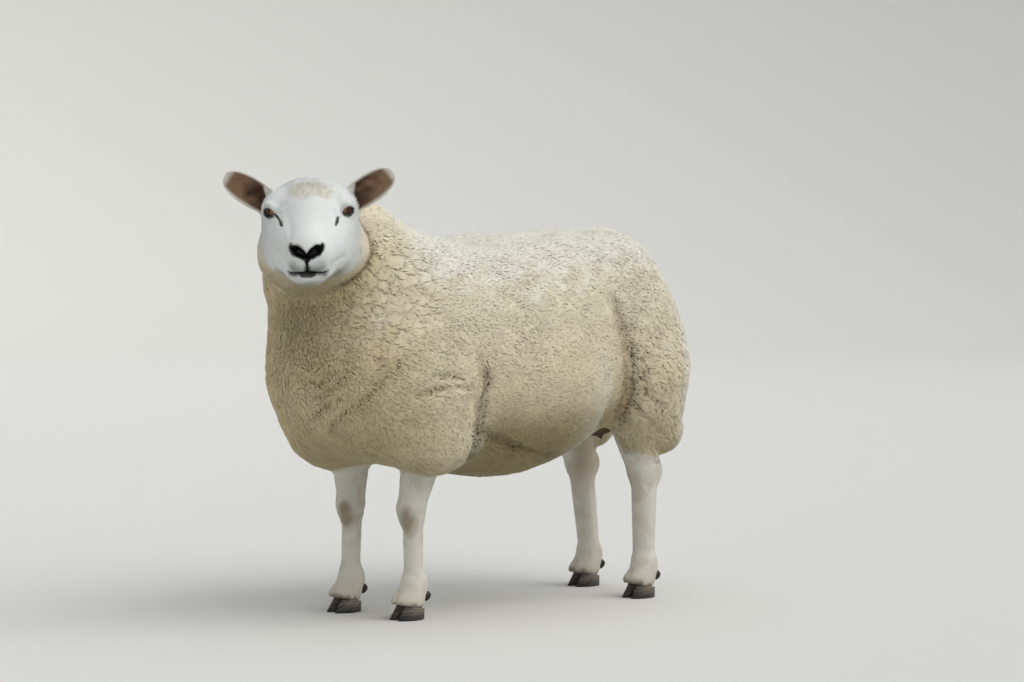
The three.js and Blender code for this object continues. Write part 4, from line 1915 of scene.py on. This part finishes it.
@dataclass
class Fleece:
    """The wool, in overlapping locks that lie over the body, and fine wisps over them."""

    body: Body
    relief: Relief
    marks: Marks
    ground: Ground
    lie: Lie
    lock_room: float = 13.4  # how much skin each lock has, in square millimetres
    lock_length: float = 9.0
    curl_length: float = 7.0  # how much longer a lock is where the fleece is curliest
    lock_half: float = 2.3  # half a lock's width
    lock_flat: float = 0.3  # a lock's thickness as a share of its width
    short: float = 0.62  # a lock's size at the wool's edge, as a share of its full size
    wisp_room: float = 110.0
    calm: float = 0.96
    # painted shade with dirt, deep in the folds
    fold_dirt_and_shade: Triple = (0.40, 0.46, 0.54)  # how much darker the wool is deep in a fold
    bands: int = 6

    def size(self, more: Array) -> Array:
        """The locks' size as a share of the full one, by how far they are inside the wool."""
        return self.short + (1.0 - self.short) * ramp(0.0, 34.0, more)

    def under(self, p: Array, rest: Array) -> tuple[Array, Array]:
        """Points moved to a depth under the coat's own surface.

        Args:
            p: The points.
            rest: How deep each lies under the surface in the end, in millimetres.

        Returns:
            The moved points and the surface's normals.
        """
        d, g = slope(self.body.outline, p)
        g = unit(g)
        dip = self.relief.dip(p - g * d[:, None])
        dip = dip * ramp(2.0, 22.0, self.body.woolly(p))
        return p - g * (d + dip + rest)[:, None], g

    def locks(self) -> Tufts:
        """The locks.

        Returns:
            The crop.
        """
        rng = np.random.default_rng(51)
        middle = self.ground.middle()
        more = self.body.woolly(middle)
        roots = self.ground.sow((more > -3) / (self.lock_room * self.size(more) ** 2), 52)
        count = len(roots.at)
        ruff = self.body.on_ruff(roots.at)
        size = self.size(self.body.woolly(roots.at)) * (1.0 - 0.35 * ruff)
        clump = self.relief.clumping(roots.at) * (1.0 - ruff)
        way = self.lie.wool(roots.at, roots.normal)
        length = (self.lock_length + self.curl_length * clump) * size * rng.uniform(0.7, 1.3, count)
        deep = -self.body.outline(roots.at)
        top = roots.at + roots.normal * deep[:, None]
        folded = ramp(2.0, 7.0, self.relief.cut(top + way * (length * 0.5)[:, None]))
        length = length * (1.0 - 0.55 * folded)
        goal = roots.at + roots.normal * (deep * 0.9)[:, None] + way * length[:, None]
        rest = rng.uniform(0.1, 0.6, count) + 0.8 * clump * rng.uniform(0.0, 1.0, count)
        tip, out = self.under(goal, rest)
        rank = rng.uniform(size=count)
        chosen = np.flatnonzero(rank < 0.10 - 0.065 * clump)
        tree = KDTree(len(chosen))
        for i, place in enumerate(tip[chosen]):
            tree.insert(place, i)
        tree.balance()
        home = chosen[np.array([tree.find(place)[1] for place in tip])]
        pull = (0.16 + 0.58 * clump)[:, None]
        tip = tip + (tip[home] - tip) * pull
        lift = rng.normal(0.0, 0.22, count)[home] * (1.0 + 3.0 * clump)
        tip = tip + out * np.minimum(lift, 1.6)[:, None]
        bend = roots.at + roots.normal * (deep * 0.9)[:, None] + way * (length * 0.3)[:, None]
        shade = rng.normal(0.0, 0.035, count) + rng.normal(0.0, 0.035, count)[home]
        # Painted shade with dirt: the wool darkens deep in the folds.
        fold_dirt_and_shade_tone = 1.0 - np.outer(ramp(2.5, 9.5, self.relief.cut(tip)), self.fold_dirt_and_shade)
        colour = self.marks.colour(tip, out) * (1.0 + shade)[:, None] * fold_dirt_and_shade_tone
        wide = (self.lock_half - 0.2 * clump) * size * rng.uniform(0.8, 1.2, count)
        start, facing = roots.at - roots.normal, unit(0.35 * out + 0.65 * roots.normal)
        low, thick = colour * np.array([0.95, 0.93, 0.90]), wide * self.lock_flat
        # Painted shade: each lock is darker at its root.
        rings = ((0.0, 0.8), (0.58, 1.0))
        return Tufts(start, bend, tip, facing, wide, thick, low, colour, roots.uv, rings, self.calm)

    def wisps(self) -> Tufts:
        """Thin loose fibres that soften the surface of the locks.

        Returns:
            The crop.
        """
        rng = np.random.default_rng(61)
        more = self.body.woolly(self.ground.middle())
        roots = self.ground.sow((more > 2) / self.wisp_room, 62)
        count = len(roots.at)
        way = self.lie.wool(roots.at, roots.normal)
        side = np.cross(roots.normal, way) * rng.normal(0.0, 0.5, count)[:, None]
        deep = -self.body.outline(roots.at)
        foot, out = self.under(roots.at + roots.normal * deep[:, None], np.full(count, 2.0))
        length = rng.uniform(8.0, 15.0, count)
        high = rng.uniform(-0.8, 1.0, count)
        tip, _ = self.under(foot + unit(way + side) * length[:, None], -high)
        bend = foot + out * (2.4 + high)[:, None] + way * (length * 0.35)[:, None]
        colour = self.marks.colour(tip, out) * (1.0 + rng.normal(0.03, 0.05, count))[:, None]
        wide = rng.uniform(0.55, 0.95, count)
        rings = ((0.0, 1.0), (0.55, 0.85))
        # Painted shade: each wisp is darker at its root.
        low = colour * 0.92
        return Tufts(foot, bend, tip, out, wide, wide * 0.8, low, colour, roots.uv, rings, 0.75)

    def build(self) -> list[Piece]:
        """Makes the fleece, in pieces from front to back on each side.

        Returns:
            The new objects.
        """
        locks, wisps = self.locks(), self.wisps()
        pieces = []
        for side in ("left", "right"):
            sign = 1.0 if side == "left" else -1.0
            parts = [crop.kept(crop.start[:, 0] * sign > 0) for crop in (locks, wisps)]
            cuts = np.quantile(parts[0].start[:, 1], np.linspace(0, 1, self.bands + 1))
            cuts[0], cuts[-1] = -1e9, 1e9
            for band in range(self.bands):
                low, high = cuts[band], cuts[band + 1]
                held = [c.kept((c.start[:, 1] >= low) & (c.start[:, 1] < high)) for c in parts]
                pieces.append(coat_piece(f"fleece_{side}_{band + 1}", held, WOOL))
        return pieces


@dataclass
class Hair:
    """The short hair of the head, ears and legs, where it breaks the surface."""

    body: Body
    marks: Marks
    ground: Ground
    lie: Lie
    head_room: float = 8.0  # how much skin each tuft has, in square millimetres
    leg_room: float = 14.0
    head_length: float = 5.5
    leg_length: float = 7.0
    lift: float = 0.35
    calm: float = 0.85

    def bare(self, p: Array) -> Array:
        """Whether hair grows at each point: not on the nose, the lids or the lips.

        Args:
            p: Points in the body's frame.

        Returns:
            True or False for each point.
        """
        h = self.body.head.into(p)
        grows = self.body.woolly(p) < 4
        grows &= self.marks.wet(p) < 0.2
        grows &= LIPS.distance(h) > 0.6
        grows &= (self.body.head.core.distance(h) > -5.5) | (h[:, 1] > -80)
        for eye in EYES:
            measure, _, _ = eye.lids(h)
            grows &= (measure > 1.3) | (eye.off(h) > 26)
        for foot in self.body.feet:
            grows &= self.body.hoof.above_coronet(p, foot) > 2
        return grows

    def tufts(self, head: bool) -> Tufts:
        """The tufts of the head, or those of the legs.

        Args:
            head: True for the head and False for the legs.

        Returns:
            The crop.
        """
        rng = np.random.default_rng(71 if head else 72)
        middle = self.ground.middle()
        here = (middle[:, 2] > 520) == head
        here[here] = self.bare(middle[here])
        room = self.head_room if head else self.leg_room
        roots = self.ground.sow(here / room, 73 if head else 74)
        roots = roots.kept(self.bare(roots.at))
        count = len(roots.at)
        way = self.lie.hair(roots.at, roots.normal)
        length = np.full(count, self.head_length if head else self.leg_length)
        lift = np.full(count, self.lift)
        h = self.body.head.into(roots.at)
        poll = ramp(10.0, -8.0, Egg((4, 44, 38), (46, 34, 22)).distance(h)) * head
        face = norm(h - np.array([0, -100, -30]), axis=1) < 75
        length = np.where(face, length * 0.7, length) + 5.0 * poll
        lift = lift + 1.1 * poll * rng.uniform(0.2, 1.0, count)
        for ear in self.body.ears:
            along, across, _, half = ear.place(h)
            on = (ear.distance(h, ear.hairy) < 1.5) & (along > 0.0)
            rim = on & (np.maximum(np.abs(across) / np.maximum(half, 1), along) > 0.9)
            length = np.where(on, length * np.where(rim, 0.45, 0.7), length)
            lift = np.where(on, 0.25, lift)
        stray = rng.normal(0, 0.25, count) + 0.8 * poll * rng.normal(0, 1, count)
        way = unit(way + np.cross(roots.normal, way) * stray[:, None])
        length = length * rng.uniform(0.7, 1.25, count)
        up = roots.normal * lift[:, None]
        bend = roots.at + up * 1.1 + way * (length * 0.45)[:, None]
        tip = roots.at + up * rng.uniform(0.5, 1.1, count)[:, None] + way * length[:, None]
        colour = self.marks.colour(roots.at, roots.normal)
        colour = colour * (1.0 + rng.normal(0.0, 0.04, count))[:, None]
        wide = rng.uniform(0.5, 0.85, count) * (1.0 + 0.15 * poll)
        rings = ((0.0, 1.0), (0.5, 0.9))
        start = roots.at - roots.normal * 0.4
        # Painted shade: each tuft is darker at its root.
        low, thick = colour * 0.96, wide * 0.4
        crop = (start, bend, tip, roots.normal, wide, thick, low, colour, roots.uv)
        return Tufts(*crop, rings, self.calm)

    def lashes(self, eye: Eye, count: int = 26) -> Tufts:
        """The lashes of one upper lid.

        Args:
            eye: The eye.
            count: How many lashes it has.

        Returns:
            The crop.
        """
        rng = np.random.default_rng(81)
        ahead, up, out = eye.axes()
        a = np.linspace(-0.86, 0.86, count) * eye.half_wide
        b = eye.half_high[0] * (1.04 - (np.abs(a) / eye.half_wide) ** 1.7) ** (1 / 1.7)
        level = np.sqrt(np.maximum((eye.radius + eye.lid) ** 2 - a**2 - b**2, 1.0))
        root = eye.centre() + a[:, None] * ahead + b[:, None] * up + level[:, None] * out
        way = unit(out * 0.8 + up * 0.25 + (a / eye.half_wide * 0.5)[:, None] * ahead)
        length = rng.uniform(4.5, 7.0, count)[:, None]
        head = self.body.head
        start, bend = head.out(root - out), head.out(root + way * length * 0.5 - up * 0.6)
        tip = head.out(root + way * length + up * 0.9)
        facing = np.tile(head.turn() @ up, (count, 1))
        colour = np.tile(Tint.TEAR.light, (count, 1))
        wide = np.full(count, 0.28)
        uv = np.column_stack([np.linspace(0.3, 0.7, count), np.full(count, 0.5)])
        rings = ((0.0, 1.0), (0.5, 0.8))
        return Tufts(start, bend, tip, facing, wide, wide, colour, colour, uv, rings)

    def build(self) -> list[Piece]:
        """Makes the hair.

        Returns:
            The new objects.
        """
        lashes = [self.lashes(eye) for eye in EYES]
        head, legs = self.tufts(True), self.tufts(False)
        left = self.body.head.into(head.start)[:, 0] > 0
        return [
            coat_piece("hair_head_left", [head.kept(left), lashes[0]], HAIR),
            coat_piece("hair_head_right", [head.kept(~left), lashes[1]], HAIR),
            coat_piece("hair_legs", [legs], HAIR),
        ]


# ---------------- eyes and hooves
@dataclass(frozen=True)
class Ball:
    """An eyeball with its clear front, amber iris and long level pupil."""

    body: Body
    eye: Eye
    sides: int = 72
    rings: int = 56
    look: Triple = (0.44, -0.80, 0.41)
    iris: float = 9.4
    pupil: tuple[float, float] = (4.6, 1.9)

    def build(self) -> Piece:
        """Makes the eyeball in place of the plain one.

        Returns:
            The new object.
        """
        ahead, up, out = Eye(self.eye.side, look=self.look, tilt=0.0).axes()
        share = (np.arange(self.rings + 1) / self.rings) ** 1.25
        tilt = np.repeat(share * math.pi, self.sides)
        turn = np.tile(np.arange(self.sides) / self.sides * 2 * math.pi, self.rings + 1)
        bulge = 1.3 * np.cos(np.clip(tilt / math.radians(42), 0, 1) * math.pi / 2) ** 2
        size = self.eye.radius - 0.2 + bulge
        a, b = size * np.sin(tilt) * np.cos(turn), size * np.sin(tilt) * np.sin(turn)
        c = size * np.cos(tilt)
        h = self.eye.centre() + a[:, None] * ahead + b[:, None] * up + c[:, None] * out
        quads = ringed(self.rings + 1, self.sides)
        if np.dot(np.cross(ahead, up), out) < 0:
            quads = quads[:, ::-1]
        where = "left" if self.eye.side > 0 else "right"
        mesh = made_mesh(f"eyeball_{where}", self.body.head.out(h), [quads])
        work = bmesh.new()
        work.from_mesh(mesh)
        bmesh.ops.remove_doubles(work, verts=work.verts, dist=1e-5)
        work.to_mesh(mesh)
        work.free()
        p, _ = points_of(mesh)
        r = self.body.head.into(p) - self.eye.centre()
        mark(mesh, "colour", self.colours(r @ ahead, r @ up, r @ out))
        piece = shown(mesh, EYEBALL)
        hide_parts(f"eye_{where}")
        return piece

    def colours(self, a: Array, b: Array, c: Array) -> Array:
        """The eyeball's colours, by how far forward, up and out each point lies.

        Args:
            a: How far forward each point lies.
            b: How far up.
            c: How far out.

        Returns:
            Linear colours.
        """
        off = np.where(c > 0, np.hypot(a, b), 99.0)
        turn = np.arctan2(b, a)
        streak = 0.12 * np.cos(turn * 23 + 1.3 * np.cos(turn * 7)) + 0.08 * np.cos(turn * 41)
        iris = np.tile(Tint.AMBER.light, (len(a), 1))
        # Painted shadow of the upper lid: the iris turns brown over its top.
        iris = paint(iris, Tint.BROWN, ramp(-1.0, 4.0, b)) * (1.0 + streak)[:, None]
        edge = ramp(self.iris, self.iris - 0.8, off)[:, None]
        colour = Tint.EYE_WHITE.light * (1 - edge) + iris * edge
        ring = np.exp(-(((off - self.iris) / 0.6) ** 2))[:, None]
        colour = colour * (1 - 0.8 * ring)
        slot = (np.abs(a) / self.pupil[0]) ** 3 + (np.abs(b) / self.pupil[1]) ** 3
        dark = np.where(c > 0, ramp(1.25, 0.85, slot), 0.0)[:, None]
        return colour * (1 - dark) + 0.002 * dark


@dataclass(frozen=True)
class Horn:
    """The claws and the dewclaws of one foot."""

    body: Body
    foot: Foot
    sides: int = 32
    rings: int = 10
    bud_sides: int = 18
    bud_rings: int = 11
    bud_tilt: float = 55.0

    def named(self, side: float) -> str:
        """The foot's name with inner or outer, for one side of the foot's middle."""
        return f"{self.foot.name}_{'outer' if side * self.foot.side > 0 else 'inner'}"

    def claw(self, side: float) -> Mesh:
        """One claw.

        Args:
            side: -1 or 1, for the side of the foot's middle.

        Returns:
            The mesh.
        """
        hoof, foot = self.body.hoof, self.foot
        middle = hoof.width / 2 + hoof.cleft
        turn = np.arange(self.sides) / self.sides * 2 * math.pi
        toe = np.maximum(-np.cos(turn), 0.0)
        rows = []
        for ring in range(self.rings + 2):
            share = min(ring / self.rings, 1.0)
            z = np.full(self.sides, hoof.toe * share)
            for _ in range(4):
                half = (hoof.length - z * hoof.slope) / 2
                behind = half * np.cos(turn) + z * hoof.slope / 2
                top = (hoof.toe + hoof.heel) / 2 - 4 - (behind - hoof.ahead) * 0.2 + 2.5
                z = share * np.minimum(top, hoof.toe)
            half = (hoof.length - z * hoof.slope) / 2
            narrow = (1 - 0.4 * toe**3) * (1 - 0.1 * z / hoof.toe)
            shrink = 1.0 if ring <= self.rings else 0.55
            rim = 1.0 - 0.035 * (ring == 0) + 0.012 * math.sin(ring * 2.4) * (0 < ring < self.rings)
            across = hoof.width / 2 * np.sin(turn) * narrow * rim
            flat = np.maximum(across, -middle + hoof.cleft + 0.02 * z)
            behind = half * np.cos(turn) * rim * shrink + z * hoof.slope / 2
            x = foot.x + side * (middle + flat * shrink - 2 * toe)
            rows.append(np.column_stack([x, foot.y - hoof.ahead + behind, z]))
        p = np.concatenate(rows)
        sole = np.arange(self.sides)[None]
        top = sole[:, ::-1] + (len(rows) - 1) * self.sides
        faces = [ringed(len(rows), self.sides), sole, top]
        if side > 0:
            faces = [f[:, ::-1] for f in faces]
        mesh = made_mesh(f"hoof_{self.named(side)}", p, faces)
        low = ramp(22.0, 3.0, p[:, 2])
        noise = Ripple(9, 91).at(p * np.array([1, 1, 2.5]))
        front = ramp(0.0, -22.0, p[:, 1] - foot.y)
        mix = np.clip(low + 0.25 * noise, 0, 1)
        colour = paint(np.tile(Tint.HORN_PALE.light, (len(p), 1)), Tint.HORN_SLATE, mix)
        dark = np.clip(front * 0.75 + 0.2 * noise, 0, 1) * (0.35 + 0.65 * mix)
        mark(mesh, "colour", paint(colour, Tint.HORN_BLACK, dark))
        return mesh

    def dewclaw(self, side: float) -> Mesh:
        """One dewclaw, a blunt bud of horn.

        Args:
            side: -1 or 1, for the side of the foot's middle.

        Returns:
            The mesh.
        """
        hoof, foot = self.body.hoof, self.foot
        height = np.linspace(-0.5, 0.5, self.bud_rings)
        shape = np.interp(height, [-0.5, -0.42, -0.05, 0.3, 0.5], [0.02, 0.6, 0.97, 0.8, 0.02])
        turn = np.arange(self.bud_sides) / self.bud_sides * 2 * math.pi
        spin = np.array(Matrix.Rotation(math.radians(self.bud_tilt), 3, "X"))
        rows = []
        for level, wide in zip(height, shape):
            r = hoof.bud_radius * wide
            tall = np.full(self.bud_sides, level * hoof.bud_length)
            rows.append(np.column_stack([r * np.sin(turn), tall, r * np.cos(turn)]))
        p = np.concatenate(rows) @ spin.T
        p = p + np.array([foot.x + side * hoof.bud_apart, foot.y + hoof.bud_behind, hoof.bud_high])
        low = np.arange(self.bud_sides)[None]
        quads = np.roll(ringed(self.bud_rings, self.bud_sides)[:, ::-1], 1, axis=1)
        faces = [quads, low[:, ::-1], low + (self.bud_rings - 1) * self.bud_sides]
        mesh = made_mesh(f"bud_{self.named(side)}", p, faces)
        noise = Ripple(6, 92).at(p)[:, None]
        mark(mesh, "colour", Tint.BUD.light * (1 + 0.25 * noise))
        return mesh

    def build(self) -> list[Piece]:
        """Makes the foot's horn in place of the plain claws.

        Returns:
            The new objects.
        """
        pieces = []
        for side in (-1.0, 1.0):
            for mesh, node in ((self.claw(side), "claw"), (self.dewclaw(side), "dewclaw")):
                piece = shown(mesh, HORN)
                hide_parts(f"{node}_{self.named(side)}")
                pieces.append(piece)
        return pieces


# ---------------- the studio
@dataclass(frozen=True)
class Lamp:
    """A broad soft light from far away.

    place is the direction that it shines from, power is in watts for each square metre, and
    spread is how wide it looks, in degrees.
    """

    name: str
    place: Triple
    power: float
    spread: float
    tone: Triple

    def build(self) -> None:
        """Makes the light."""
        data = bpy.data.lights.new(self.name, "SUN")
        data.energy, data.angle, data.color = self.power, math.radians(self.spread), self.tone
        lamp = bpy.data.objects.new(self.name, data)
        lamp.location = Vector(self.place).normalized() * 5.0
        lamp.rotation_mode = "QUATERNION"
        lamp.rotation_quaternion = (-Vector(self.place)).to_track_quat("-Z", "Y")
        bpy.context.scene.collection.objects.link(lamp)


@dataclass(frozen=True)
class Studio:
    """A pale round floor that curves up to a wall, soft lights and the camera."""

    eye: Triple = (4.5963, -3.7617, 0.767)
    lens: float = 108.63
    pixels: float = 3090.0  # the focal length in pixels of the picture
    azimuth: float = 50.0
    foot_x: float = 490.0  # where the frame's own point stands in the picture
    horizon: float = 210.0
    wide: float = 1024.0
    high: float = 682.0
    floor_reach: float = 11.0
    curve: float = 3.0
    wall: float = 7.0
    sides: int = 96
    paper: tuple[float, float, float, float] = (0.68, 0.68, 0.66, 1.0)
    sky: tuple[float, float, float, float] = (0.84, 0.92, 1.0, 1.0)
    sky_strength: float = 0.35
    lamps: tuple[Lamp, ...] = (
        Lamp("overhead", (0.35, 0.25, 1.0), 1.35, 90.0, (1.0, 0.98, 0.95)),
        Lamp("key", (0.90, 0.36, 0.56), 2.3, 80.0, (1.0, 0.97, 0.92)),
    )

    def forward(self) -> Vector:
        """Which way the camera looks.

        Returns:
            A unit direction.
        """
        down = math.atan((self.high / 2 - self.horizon) / self.pixels)
        a = math.radians(self.azimuth)
        aside = math.atan((self.foot_x - self.wide / 2) / self.pixels / math.cos(down))
        turn = math.atan2(math.cos(a), -math.sin(a)) + aside
        level = math.cos(down)
        return Vector((math.cos(turn) * level, math.sin(turn) * level, -math.sin(down)))

    def camera(self) -> None:
        """Makes the camera."""
        data = bpy.data.cameras.new("camera")
        data.lens, data.sensor_width = self.lens, 36.0
        data.clip_start, data.clip_end = 0.1, 100.0
        camera = bpy.data.objects.new("camera", data)
        camera.location = self.eye
        camera.rotation_mode = "QUATERNION"
        camera.rotation_quaternion = self.forward().to_track_quat("-Z", "Y")
        bpy.context.scene.collection.objects.link(camera)
        bpy.context.scene.camera = camera

    def floor(self) -> Piece:
        """The floor and the wall that it curves up to.

        Returns:
            The new object.
        """
        flat = [(r, 0.0) for r in (0.5, 1.0, 2.0, 4.0, 8.0, self.floor_reach)]
        turns = [math.radians(a) for a in range(9, 91, 9)]
        bend = [
            (self.floor_reach + self.curve * math.sin(a), self.curve * (1 - math.cos(a)))
            for a in turns
        ]
        rows = [*flat, *bend, (self.floor_reach + self.curve, self.wall)]
        turn = np.arange(self.sides) / self.sides * 2 * math.pi
        circle = np.column_stack([np.cos(turn), np.sin(turn), np.ones(self.sides)])
        p = np.concatenate([circle * np.array([r, r, z]) for r, z in rows])
        faces = [ringed(len(rows), self.sides), np.arange(self.sides)[None]]
        mesh = made_mesh("floor", p / MM - BEHIND, faces)
        paper = bpy.data.materials.new("paper")
        paper.use_nodes = True
        shader = paper.node_tree.nodes["Principled BSDF"]
        shader.inputs["Base Color"].default_value = self.paper
        shader.inputs["Roughness"].default_value = 0.9
        shader.inputs["Specular IOR Level"].default_value = 0.1
        mesh.materials.append(paper)
        floor = bpy.data.objects.new("floor", mesh)
        bpy.context.scene.collection.objects.link(floor)
        return floor

    def build(self) -> None:
        """Makes the floor, the lights and the camera."""
        self.floor()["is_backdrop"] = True
        world = bpy.data.worlds.new("sky")
        world.use_nodes = True
        back = world.node_tree.nodes["Background"]
        back.inputs["Color"].default_value = self.sky
        back.inputs["Strength"].default_value = self.sky_strength
        bpy.context.scene.world = world
        for lamp in self.lamps:
            lamp.build()
        bpy.context.scene.view_settings.view_transform = "Standard"
        self.camera()


def corners() -> list[list[float]]:
    """The shown object's lowest and highest corner, in metres."""
    return [list(corner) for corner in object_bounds()]


def main() -> None:
    """Loads the solids, dresses them and sets the studio."""
    logging.basicConfig(level=logging.INFO, format="%(message)s")
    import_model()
    body = Body()
    relief = Relief(body)
    marks = Marks(body)
    skin = Skin(body, relief, Face(body), marks).build()
    ground, lie = Ground.of(skin), Lie(body)
    Fleece(body, relief, marks, ground, lie).build()
    Hair(body, marks, ground, lie).build()
    for eye in EYES:
        Ball(body, eye).build()
    for foot in body.feet:
        Horn(body, foot).build()
    Studio().build()


if __name__ == "__main__":
    main()
